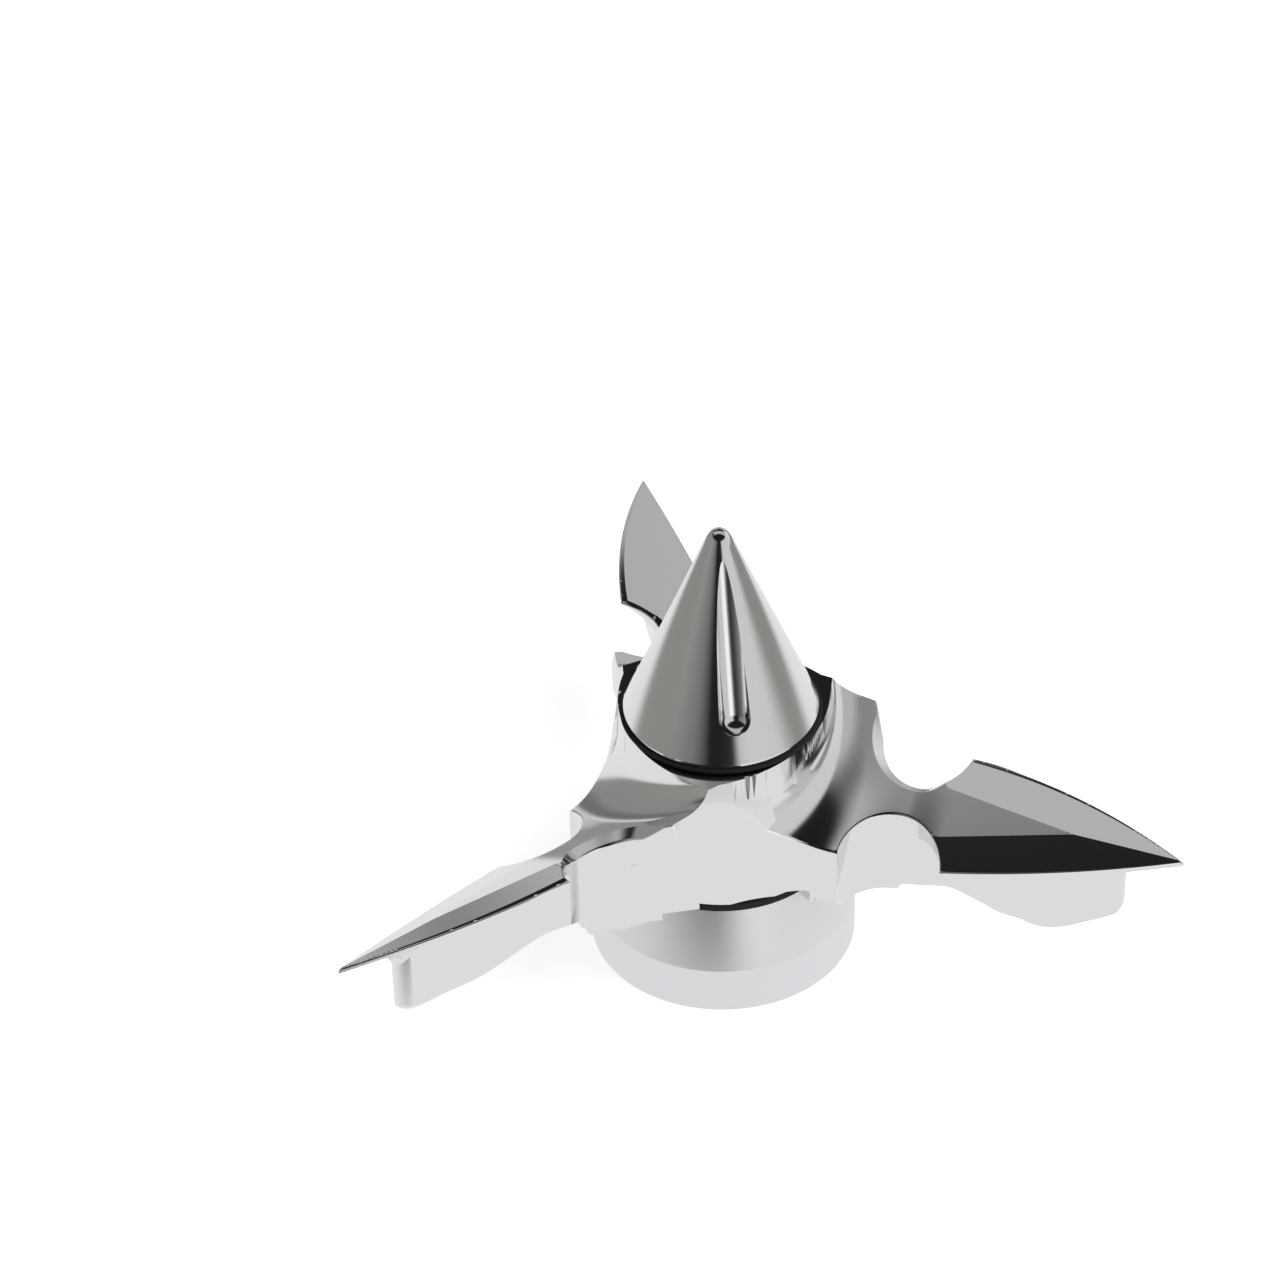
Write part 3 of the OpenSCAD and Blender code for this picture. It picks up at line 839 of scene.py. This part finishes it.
    def build(self, top, top_z, tris, mark, rim, lines, web, step):
        shell = Shell()
        ring = top[rim]
        low, high = ring.min(0), ring.max(0)
        coarse = step * 1.5
        rows = np.array([(x + (j % 2) * coarse / 2, y)
                         for j, y in enumerate(np.arange(low[1], high[1], coarse * 0.866))
                         for x in np.arange(low[0], high[0], coarse)])
        line_points = np.array([p for pair in lines for p in pair])
        rows = rows[inside(rows, ring)]
        rows = rows[distance_to(rows, ring) > coarse * 0.4]
        gap = np.full(len(rows), 1e9)
        for p in line_points:
            gap = np.minimum(gap, np.hypot(rows[:, 0] - p[0], rows[:, 1] - p[1]))
        rows = rows[gap > coarse * 0.45]
        around = np.array(web)
        way = np.roll(around, -1, axis=0) - np.roll(around, 1, axis=0)
        normal = np.stack([-way[:, 1], way[:, 0]], 1) / np.maximum(np.linalg.norm(way, axis=1), 1e-9)[:, None]
        soft = (0.3 + 0.9 * eased(around[:, 0], 37, 46))[:, None]
        bands = []
        for share in (0.06, 0.22, 0.5, 1.0):
            row = around + normal * soft * share
            far = distance_to(row, around) > 0.9 * soft[:, 0] * share
            bands.append(row[far & inside(row, around) & inside(row, ring) & (distance_to(row, ring) > 0.15)
                             & (row[:, 0] > 36)])
        bands = np.concatenate(bands)
        near = np.array([np.hypot(*(bands - p).T).min() for p in rows])
        rows = rows[near > coarse * 0.45]
        start = len(ring)
        points = np.concatenate([ring, line_points, bands, rows])
        self.web = around
        keep = [(start + 2 * i, start + 2 * i + 1) for i in range(len(lines))]
        flat, low_tris, went = web_of_triangles(points, list(range(len(ring))), keep)
        low_tris = np.array(low_tris)
        centre = flat[low_tris].mean(1)
        in_web = inside(centre, np.array(web))
        out = np.hypot(centre[:, 0], centre[:, 1])
        region = np.select([out < RELIEF_R, in_web & (out < CUP_R), in_web], [0, 3, 1], 2)
        levels = {}
        for kind in (0, 1, 2, 3):
            used = np.unique(low_tris[region == kind])
            if len(used):
                for i, z in zip(used, self.foot_height(flat[used], np.full(len(used), kind), np.array(web))):
                    levels[(int(i), kind)] = float(z)
        stack = {}
        for (i, kind), z in levels.items():
            stack.setdefault(i, []).append(z)
        low_rim = [went[i] for i in range(len(ring))]

        def upright(i, z0, z1):
            """The heights on the upright line at a point, from z0 to z1."""
            between = sorted(z for z in stack[i] if min(z0, z1) + 1e-4 < z < max(z0, z1) - 1e-4)
            return [z0, *(between if z1 > z0 else reversed(between)), z1]

        faces_low, verts_low = [], []
        for t, kind in zip(low_tris, region):
            n = len(verts_low)
            verts_low += [(*flat[i], levels[(int(i), int(kind))]) for i in reversed(t)]
            faces_low.append((n, n + 1, n + 2))
        owners = {}
        for t, kind in zip(low_tris, region):
            for e in ((t[0], t[1]), (t[1], t[2]), (t[2], t[0])):
                owners.setdefault(tuple(sorted(map(int, e))), []).append((int(kind), tuple(map(int, e))))
        walls = []
        for edge_, sides in owners.items():
            if len(sides) == 2 and sides[0][0] != sides[1][0]:
                (ka, (i, j)), (kb, _) = sides
                za, zb = (levels[(i, ka)], levels[(j, ka)]), (levels[(i, kb)], levels[(j, kb)])
                if abs(za[0] - zb[0]) < 1e-4 and abs(za[1] - zb[1]) < 1e-4:
                    continue
                left = [(*flat[j], z) for z in upright(j, za[1], zb[1])]
                right = [(*flat[i], z) for z in upright(i, zb[0], za[0])]
                walls.append((left + right, WEB_WALL))
        follows = {}
        for sides in owners.values():
            if len(sides) == 1:
                follows[sides[0][1][0]] = (sides[0][1][1], sides[0][0])
        for i, j in zip(rim, rim[1:] + rim[:1]):
            p, q = top[i], top[j]
            a, b = low_rim[rim.index(i)], low_rim[rim.index(j)]
            on_ray = self.on_cut(p) and self.on_cut(q)
            if on_ray or (self.in_bore(p) and self.in_bore(q)) or a == b:
                continue
            kind = follows[a][1]
            wall = [(*p, z) for z in upright(a, top_z[i], levels[(a, kind)])]
            here = a
            for _ in range(len(follows)):
                if here == b:
                    break
                here, kind = follows[here]
                level = levels[(here, kind)]
                goal = top_z[j] if here == b else levels[(here, follows[here][1])]
                wall += [(*(q if here == b else flat[here]), z) for z in upright(here, level, goal)]
            walls.append((wall, OUTER_WALL))
        bore = [top[i] for i in rim if self.in_bore(top[i])]
        bore.sort(key=lambda p: math.atan2(p[1], p[0]))
        section = [(BORE_R, RIM_Z), (BORE_R, GROOVE[1]), (GROOVE[2], GROOVE[1]), (GROOVE[2], GROOVE[0]),
                   (BORE_R, GROOVE[0]), (BORE_R, TOP_SEAT_Z), (SHOULDER_R, TOP_SEAT_Z),
                   (SHOULDER_R, LOW_SEAT_Z), (BORE_R, LOW_SEAT_Z), (BORE_R, HUB_Z)]
        for sector in range(BLADES):
            angle = sector * BLADE_STEP
            code = sector * 16 + 1

            def put(points3, faces, skin):
                points3 = np.array(points3, float)
                points3[:, :2] = turned(points3[:, :2], angle)
                shell.add(points3, faces, skin)

            put(np.column_stack([top, top_z]), tris, [code + int(m) for m in mark])
            put(verts_low, faces_low, 0)
            for wall, skin in walls:
                put(wall, [tuple(range(len(wall)))], skin + sector)
            for p, q in zip(bore, bore[1:]):
                p, q = np.array(p) / np.hypot(*p), np.array(q) / np.hypot(*q)
                for (r0, z0), (r1, z1) in zip(section, section[1:]):
                    put([(*(p * r0), z0), (*(q * r0), z0), (*(q * r1), z1), (*(p * r1), z1)],
                        [(0, 1, 2, 3)], 0)
        spinner = shell.object("spinner_body", "chrome_plate", sharp=28.0, normals=self.true_normals)
        dress(spinner, "rotor", "chrome_plate", "spinner")

    def in_bore(self, p):
        """Whether a point lies on the bore's edge."""
        return abs(np.hypot(*p) - BORE_R) < 0.02

    def on_cut(self, p):
        """Whether a point lies on one of the two radial cuts of the third."""
        angle = math.atan2(p[1], p[0])
        return min(abs(angle - SCALLOP_ANGLE), abs(angle - SCALLOP_ANGLE - BLADE_STEP)) < 1e-5

    def wall_normals(self, place, skin, corner, face, sector):
        """Sets the corners on the upright walls to the direction of the outline, but for its cusps."""
        for code, loop, closed in ((OUTER_WALL, self.outline[:-1], False), (WEB_WALL, self.web, True)):
            pick = np.where(skin == code + sector)[0]
            ahead, behind = np.roll(loop, -1, axis=0) - loop, loop - np.roll(loop, 1, axis=0)
            if not closed:
                ahead[-1], behind[0] = behind[-1], ahead[0]
            sides = []
            for way in (ahead, behind):
                way = way / np.maximum(np.linalg.norm(way, axis=1), 1e-9)[:, None]
                sides.append(np.stack([way[:, 1], -way[:, 0]], 1))
            smooth = (sides[0] * sides[1]).sum(1) > math.cos(math.radians(20))
            mean = turned((sides[0] + sides[1]) / 2, sector * BLADE_STEP)
            flat = turned(place[pick][:, :2], -sector * BLADE_STEP)
            gap = np.hypot(flat[:, None, 0] - loop[None, :, 0], flat[:, None, 1] - loop[None, :, 1])
            near = gap.argmin(1)
            own = face[pick]
            agree = smooth[near] & ((mean[near] * own[:, :2]).sum(1) > 0.9) & (gap.min(1) < 0.02)
            normal = np.where(agree[:, None], np.column_stack([mean[near], np.zeros(len(near))]), own)
            corner[pick] = normal / np.linalg.norm(normal, axis=1)[:, None]

    def true_normals(self, place, skin, corner, face):
        """Sets the corners on the tops to the direction of the surface itself."""
        reach = self.outline[:-1]
        for sector in range(BLADES):
            self.wall_normals(place, skin, corner, face, sector)
            pick = (skin > 0) & (skin < OUTER_WALL) & ((skin - 1) // 16 == sector)
            flat = turned(place[pick][:, :2], -sector * BLADE_STEP)
            mark = (skin[pick] - 1) % 16
            gap = distance_to(flat, reach, closed=False)

            def height(points):
                drop = quarter(distance_to(points, reach, closed=False), self.edge)
                return height_of(mark, points) - drop

            small = 0.01
            gx = (height(flat + (small, 0)) - height(flat - (small, 0))) / (2 * small)
            gy = (height(flat + (0, small)) - height(flat - (0, small))) / (2 * small)
            keep = gap > 0.03
            normal = np.stack([-gx, -gy, np.ones_like(gx)], 1)
            normal[:, :2] = turned(normal[:, :2], sector * BLADE_STEP)
            normal /= np.linalg.norm(normal, axis=1)[:, None]
            where = np.where(pick)[0][keep]
            corner[where] = normal[keep]


# ---------------------------------------------------------------- the spike

SPIKE_R = 17.2
SPIKE_Z = 50.45
SLOPE_Z = 51.25
TIP_Z = 86.85
TIP_BALL_R = 2.58
SLOT_R = 3.0
SLOT_FOOT = (14.997, 59.05)
SLOT_TOP_R = 5.88
TIP_KNOTS = ((TIP_BALL_R, TIP_Z), (2.01, 88.24), (1.3, 89.43), (0.0, 89.43))


class COVER_OT_spike(Operator):
    """Models the chromed cone with its three round-ended slots"""

    bl_idname = "cover.spike"
    bl_label = "Cone spike"

    def cone_r(self, z):
        return SPIKE_R - (SPIKE_R - TIP_BALL_R) * (z - SLOPE_Z) / (TIP_Z - SLOPE_Z)

    def slot_r(self, angle, z):
        """Where the way out from the axis first meets the slot's tool; large where it never does."""
        foot_r, foot_z = SLOT_FOOT
        lean = math.atan2(foot_r - SLOT_TOP_R, TIP_Z - foot_z)
        axis = (-math.sin(lean), math.cos(lean))
        ex = np.cos(angle)
        q = (-foot_r, z - foot_z)
        ed = ex * axis[0]
        qd = q[0] * axis[0] + q[1] * axis[1]
        qq = q[0] ** 2 + q[1] ** 2
        a, b, c = 1 - ed ** 2, 2 * (ex * q[0] - ed * qd), qq - qd ** 2 - SLOT_R ** 2
        root = b * b - 4 * a * c
        tube = np.where(root > 0, (-b - np.sqrt(np.maximum(root, 0))) / (2 * a), 99.0)
        reach = tube * ed + qd
        b2, c2 = 2 * ex * q[0], qq - SLOT_R ** 2
        root2 = b2 * b2 - 4 * c2
        ball = np.where(root2 > 0, (-b2 - np.sqrt(np.maximum(root2, 0))) / 2, 99.0)
        return np.where(reach >= 0, tube, np.where(z < foot_z, ball, 99.0))

    def execute(self, context):
        columns, rows = 48, 90
        half = BLADE_STEP / 2
        scale = 14.0
        angles = np.linspace(-half, half, columns + 1) * scale
        heights = np.linspace(SLOPE_Z, TIP_Z, rows + 1)
        outline = ([(a, SLOPE_Z) for a in angles[:-1]] + [(angles[-1], z) for z in heights[:-1]]
                   + [(a, TIP_Z) for a in angles[:0:-1]] + [(angles[0], z) for z in heights[:0:-1]])
        inner = [(a, z) for a in angles[1:-1] for z in heights[1:-1]]
        points = np.array(outline + inner)

        def marks(p):
            return (self.slot_r(p[:, 0] / scale, p[:, 1]) < self.cone_r(p[:, 1])).astype(int)

        flat, tris, mark, _ = creased(points, list(range(len(outline))), marks)
        angle, z = flat[:, 0] / scale, flat[:, 1]
        radius = np.minimum(self.cone_r(z), self.slot_r(angle, z))
        shell = Shell()
        for k in range(BLADES):
            turn = angle + (k + 0.5) * BLADE_STEP
            shell.add(np.column_stack([radius * np.cos(turn), radius * np.sin(turn), z]), tris,
                      [1 + int(m) + 2 * k for m in mark])
        count = columns * BLADES
        knots = np.array(TIP_KNOTS)
        dome = [tuple((1 - t) ** 3 * knots[0] + 3 * t * (1 - t) ** 2 * knots[1]
                      + 3 * t * t * (1 - t) * knots[2] + t ** 3 * knots[3]) for t in np.linspace(0, 1, 15)]
        shell.lathe(dome, count)
        nut_r, stud_r, seat, end = 8.0, 4.02, 51.0, 65.0
        lip = [(0.0, end), (stud_r, end), (stud_r, seat), (nut_r, seat), (nut_r, SPIKE_Z),
               (SPIKE_R - 0.25, SPIKE_Z), (SPIKE_R - 0.07, SPIKE_Z + 0.07), (SPIKE_R, SPIKE_Z + 0.25),
               (SPIKE_R, SLOPE_Z)]
        shell.lathe(lip, count)
        spike = shell.object("spike_body", "chrome_plate", sharp=20.0, normals=self.true_normals)
        dress(spike, "cup", "chrome_plate", "cone_spike")
        return {"FINISHED"}

    def true_normals(self, place, skin, corner, face):
        """Sets the corners on the cone and in the slots to the direction of the surface itself."""
        slope = (SPIKE_R - TIP_BALL_R) / (TIP_Z - SLOPE_Z)
        for k in range(BLADES):
            turn = (k + 0.5) * BLADE_STEP
            cone = skin == 1 + 2 * k
            out = np.arctan2(place[cone][:, 1], place[cone][:, 0])
            normal = np.stack([np.cos(out), np.sin(out), np.full(len(out), slope)], 1)
            corner[cone] = normal / np.linalg.norm(normal, axis=1)[:, None]
            slot = skin == 2 + 2 * k
            local = place[slot].copy()
            local[:, :2] = turned(local[:, :2], -turn)
            lean = math.atan2(SLOT_FOOT[0] - SLOT_TOP_R, TIP_Z - SLOT_FOOT[1])
            axis = np.array([-math.sin(lean), 0, math.cos(lean)])
            rel = local - (SLOT_FOOT[0], 0, SLOT_FOOT[1])
            reach = np.maximum(0, rel @ axis)
            normal = -(rel - reach[:, None] * axis)
            normal[:, :2] = turned(normal[:, :2], turn)
            corner[slot] = normal / np.maximum(np.linalg.norm(normal, axis=1), 1e-9)[:, None]


# ---------------------------------------------------------------- the cup and the rings

CUP_R = 24.0
RINGS = (("lower_ring", 20.4, 15.4, 20.4, 21.9, 0.3), ("upper_ring", 17.8, 13.8, 49.8, 50.45, 0.2))


class COVER_OT_rings(Operator):
    """Models the two black rings"""

    bl_idname = "cover.rings"
    bl_label = "Black rings"

    def ring(self, node, outer, inner, low, high, soft):
        """A ring with softened edges, from its radii, its heights and its edges' radius."""
        shell = Shell()
        profile = []
        corners = ((outer - soft, low + soft, -90), (outer - soft, high - soft, 0),
                   (inner + soft, high - soft, 90), (inner + soft, low + soft, 180))
        for cr, cz, start in corners:
            for a in range(0, 91, 15):
                angle = math.radians(start + a)
                profile.append((cr + soft * math.cos(angle), cz + soft * math.sin(angle)))
        profile.append(profile[0])
        shell.lathe(profile, 160)
        made = shell.object(node + "_body", "black_rubber", sharp=50.0)
        dress(made, "cup", "black_rubber", node)

    def execute(self, context):
        for ring in RINGS:
            self.ring(*ring)
        return {"FINISHED"}


class COVER_OT_cup(Operator):
    """Finishes the turned cup"""

    bl_idname = "cover.cup"
    bl_label = "Cup"

    def execute(self, context):
        use_finish("base_cup", "turned_aluminium")
        return {"FINISHED"}


def use_finish(node, slot, sharp=30.0):
    """Gives a CAD node its material and smooth shading."""
    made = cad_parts[node]
    if not made.material_slots:
        made.data.materials.append(None)
    for place in made.material_slots:
        place.material = finish_named(slot)
    made.data.polygons.foreach_set("use_smooth", [True] * len(made.data.polygons))
    made.data.set_sharp_from_angle(angle=math.radians(sharp))


class COVER_OT_works(Operator):
    """Finishes the stud, the bearings and the other parts inside"""

    bl_idname = "cover.works"
    bl_label = "Stud and bearings"

    def execute(self, context):
        for node, slot in (("set_screws", "black_steel"), ("centre_stud", "zinc_steel"),
                           ("stud_washer", "zinc_steel"), ("bearing_spacer", "turned_aluminium"),
                           ("retaining_ring", "black_steel"), ("lock_nut", "zinc_steel")):
            use_finish(node, slot)
        for place in ("lower", "upper"):
            for piece, slot in (("inner_race", "bearing_steel"), ("outer_race", "bearing_steel"),
                                ("ball_cage", "cage_brass"), ("balls", "bearing_steel"),
                                ("shields", "zinc_steel")):
                use_finish(f"{place}_{piece}", slot)
        return {"FINISHED"}


# ---------------------------------------------------------------- the stage

def bearings_from(x, y):
    """Distances to the front and to the right, and the angle round the axis in degrees, 0 in front."""
    forward = x * math.cos(CAMERA_AZIMUTH) + y * math.sin(CAMERA_AZIMUTH)
    right = y * math.cos(CAMERA_AZIMUTH) - x * math.sin(CAMERA_AZIMUTH)
    return forward, right, right.maths("ARCTAN2", right, forward) * (180 / math.pi)


class COVER_OT_stage(Operator):
    """Sets out the pale floor with its painted reflections, the studio's light and the camera"""

    bl_idname = "cover.stage"
    bl_label = "Stage"

    def camera(self):
        data = bpy.data.cameras.new("camera")
        data.sensor_width = 36.0
        data.lens = 124.453
        data.clip_start, data.clip_end = 0.01, 20.0
        camera = bpy.data.objects.new("camera", data)
        back = Vector((0.48655, 0.61080, 0.62465))
        right = Vector((-0.77196, 0.63536, -0.01998))
        up = Vector((-0.40909, -0.47248, 0.78065))
        turn = Matrix((right, up, back)).transposed().to_4x4()
        camera.matrix_world = Matrix.Translation(Vector((384.37, 460.20, 545.28)) * MM) @ turn
        bpy.context.scene.collection.objects.link(camera)
        bpy.context.scene.camera = camera

    def floor(self):
        bm = bmesh.new()
        bmesh.ops.create_circle(bm, cap_ends=True, segments=96, radius=6.0)
        mesh = bpy.data.meshes.new("floor")
        bm.to_mesh(mesh)
        bm.free()
        floor = bpy.data.objects.new("floor", mesh)
        bpy.context.scene.collection.objects.link(floor)
        material = bpy.data.materials.new("pale_floor")
        net = Net(material)
        seen = net.add("ShaderNodeLightPath")
        mirrored = Wire(net, seen.socket.node.outputs["Is Glossy Ray"])
        x, y, _ = net.split(net.add("ShaderNodeNewGeometry"))
        _, _, azimuth = bearings_from(x, y)
        radius = net.reach(x, y)
        # Painted dark reflection: a near-black wedge of floor in front of the cup, seen only by glossy rays,
        # paints a dark band on the cup's shoulder.
        ahead = azimuth.ramp(-72, -6) * (1 - azimuth.ramp(-1, 6)) * radius.ramp(0.088, 0.115)
        # Painted horizon reflection: from about 0.19 m out, glossy rays see a warm grey band, with a lighter
        # stretch on one side, in place of the pale floor.
        behind = radius.ramp(0.19, 0.30)
        painted_horizon_band = net.mix(azimuth.ramp(5, 40) * (1 - azimuth.ramp(60, 90)),
                       (0.30, 0.29, 0.275, 1), (0.66, 0.66, 0.66, 1))
        colour = net.mix(behind, (0.87, 0.87, 0.89, 1), painted_horizon_band)
        # Painted highlight: a wedge of floor beside the cup, brighter than white and seen only by glossy
        # rays, paints a white streak on the cup's shoulder.
        painted_highlight_wedge = azimuth.ramp(9, 16) * (1 - azimuth.ramp(32, 44)) * radius.ramp(0.088, 0.115)
        colour = net.mix(painted_highlight_wedge, net.mix(ahead, colour, (0.05, 0.05, 0.05, 1)), (1.1, 1.1, 1.1, 1))
        plain = net.add("ShaderNodeBsdfPrincipled", {}, {
            "Base Color": (0.82, 0.82, 0.82, 1), "Roughness": 0.9, "Emission Color": (1, 1, 1, 1),
            "Emission Strength": seen * 0.72})
        # Glossy rays see the floor glow in these painted reflection colours; camera and other rays see the
        # plain pale floor.
        painted_reflection_glow = net.add("ShaderNodeEmission", {}, {"Color": colour})
        surface = net.add("ShaderNodeMixShader", {}, {0: mirrored, 1: plain, 2: painted_reflection_glow})
        net.end("ShaderNodeOutputMaterial", {"Surface": surface})
        mesh.materials.append(material)

    def world(self):
        world = bpy.data.worlds.new("studio")
        bpy.context.scene.world = world
        net = Net(world)
        seen = net.add("ShaderNodeLightPath")
        x, y, z = net.split(net.add("ShaderNodeTexCoord"))
        forward, right, azimuth = bearings_from(x, y)
        level = net.add("ShaderNodeMath", {"operation": "ARCSINE"}, {0: z}) * (180 / math.pi)
        stops = [(-180, 0.30), (-168, 0.55), (-167.2, 0.5), (-166.6, 0.13), (-165.6, 0.13), (-164.9, 0.5),
                 (-160, 0.75), (-156, 0.2), (-150, 0.17), (-140, 0.28), (-100, (0.30, 0.295, 0.28)),
                 (-60, (0.33, 0.325, 0.31)), (-30, 0.2), (-22, 0.12), (-13, 0.015), (13, 0.015), (20, 0.6),
                 (32, 0.68), (90, 0.70), (118, 0.80), (132, 0.72), (148, 0.5), (166, 0.5), (180, 0.30)]
        round_ = net.add("ShaderNodeValToRGB", {"stops": [((a + 180) / 360, c) for a, c in stops]},
                         {0: (azimuth + 180) / 360})
        box = (1 - forward.ramp(-0.04, 0.20)) * forward.ramp(-0.52, -0.44) * right.ramp(-0.8, -0.6)
        above = net.mix(box, (0.012, 0.012, 0.012, 1), (0.53, 0.535, 0.52, 1))
        colour = net.mix(level.ramp(27, 33), round_, above)
        studio = net.add("ShaderNodeBackground", {}, {"Color": colour, "Strength": 1.0})
        white = net.add("ShaderNodeBackground", {}, {"Color": (1, 1, 1, 1), "Strength": 1.0})
        surface = net.add("ShaderNodeMixShader", {}, {0: seen, 1: studio, 2: white})
        net.end("ShaderNodeOutputWorld", {"Surface": surface})

    def lamp(self, name, place, size, power):
        data = bpy.data.lights.new(name, "AREA")
        data.shape = "DISK"
        data.size = size
        data.energy = power
        lamp = bpy.data.objects.new(name, data)
        lamp.location = place
        lamp.rotation_euler = (-Vector(place)).to_track_quat("-Z", "Y").to_euler()
        lamp.visible_glossy = False
        bpy.context.scene.collection.objects.link(lamp)

    def execute(self, context):
        context.scene.view_settings.view_transform = "Standard"
        self.camera()
        self.floor()
        self.world()
        self.lamp("key_lamp", (-0.3, 0.5, 0.9), 0.8, 5.0)
        return {"FINISHED"}


class COVER_PT_panel(Panel):
    """Sizes, finishes and pieces of the nut cover"""

    bl_idname = "COVER_PT_panel"
    bl_label = "Axle Nut Cover"
    bl_space_type = "VIEW_3D"
    bl_region_type = "UI"
    bl_category = "Nut Cover"

    def draw(self, context):
        for group in (context.scene.cover_sizes, context.scene.cover_finishes):
            column = self.layout.column()
            for name in group.__annotations__:
                column.prop(group, name)
        for step in STEPS:
            self.layout.operator(step.bl_idname)


STEPS = (COVER_OT_stage, COVER_OT_cup, COVER_OT_rings, COVER_OT_works, COVER_OT_spike, COVER_OT_spinner)
CLASSES = (CoverSizes, CoverFinishes, *STEPS, COVER_PT_panel)


def register():
    for kind in CLASSES:
        bpy.utils.register_class(kind)
    bpy.types.Scene.cover_sizes = PointerProperty(type=CoverSizes)
    bpy.types.Scene.cover_finishes = PointerProperty(type=CoverFinishes)


def unregister():
    del bpy.types.Scene.cover_finishes
    del bpy.types.Scene.cover_sizes
    for kind in reversed(CLASSES):
        bpy.utils.unregister_class(kind)


def main():
    register()
    for step in STEPS:
        group, name = step.bl_idname.split(".")
        getattr(getattr(bpy.ops, group), name)()


if __name__ == "__main__":
    main()
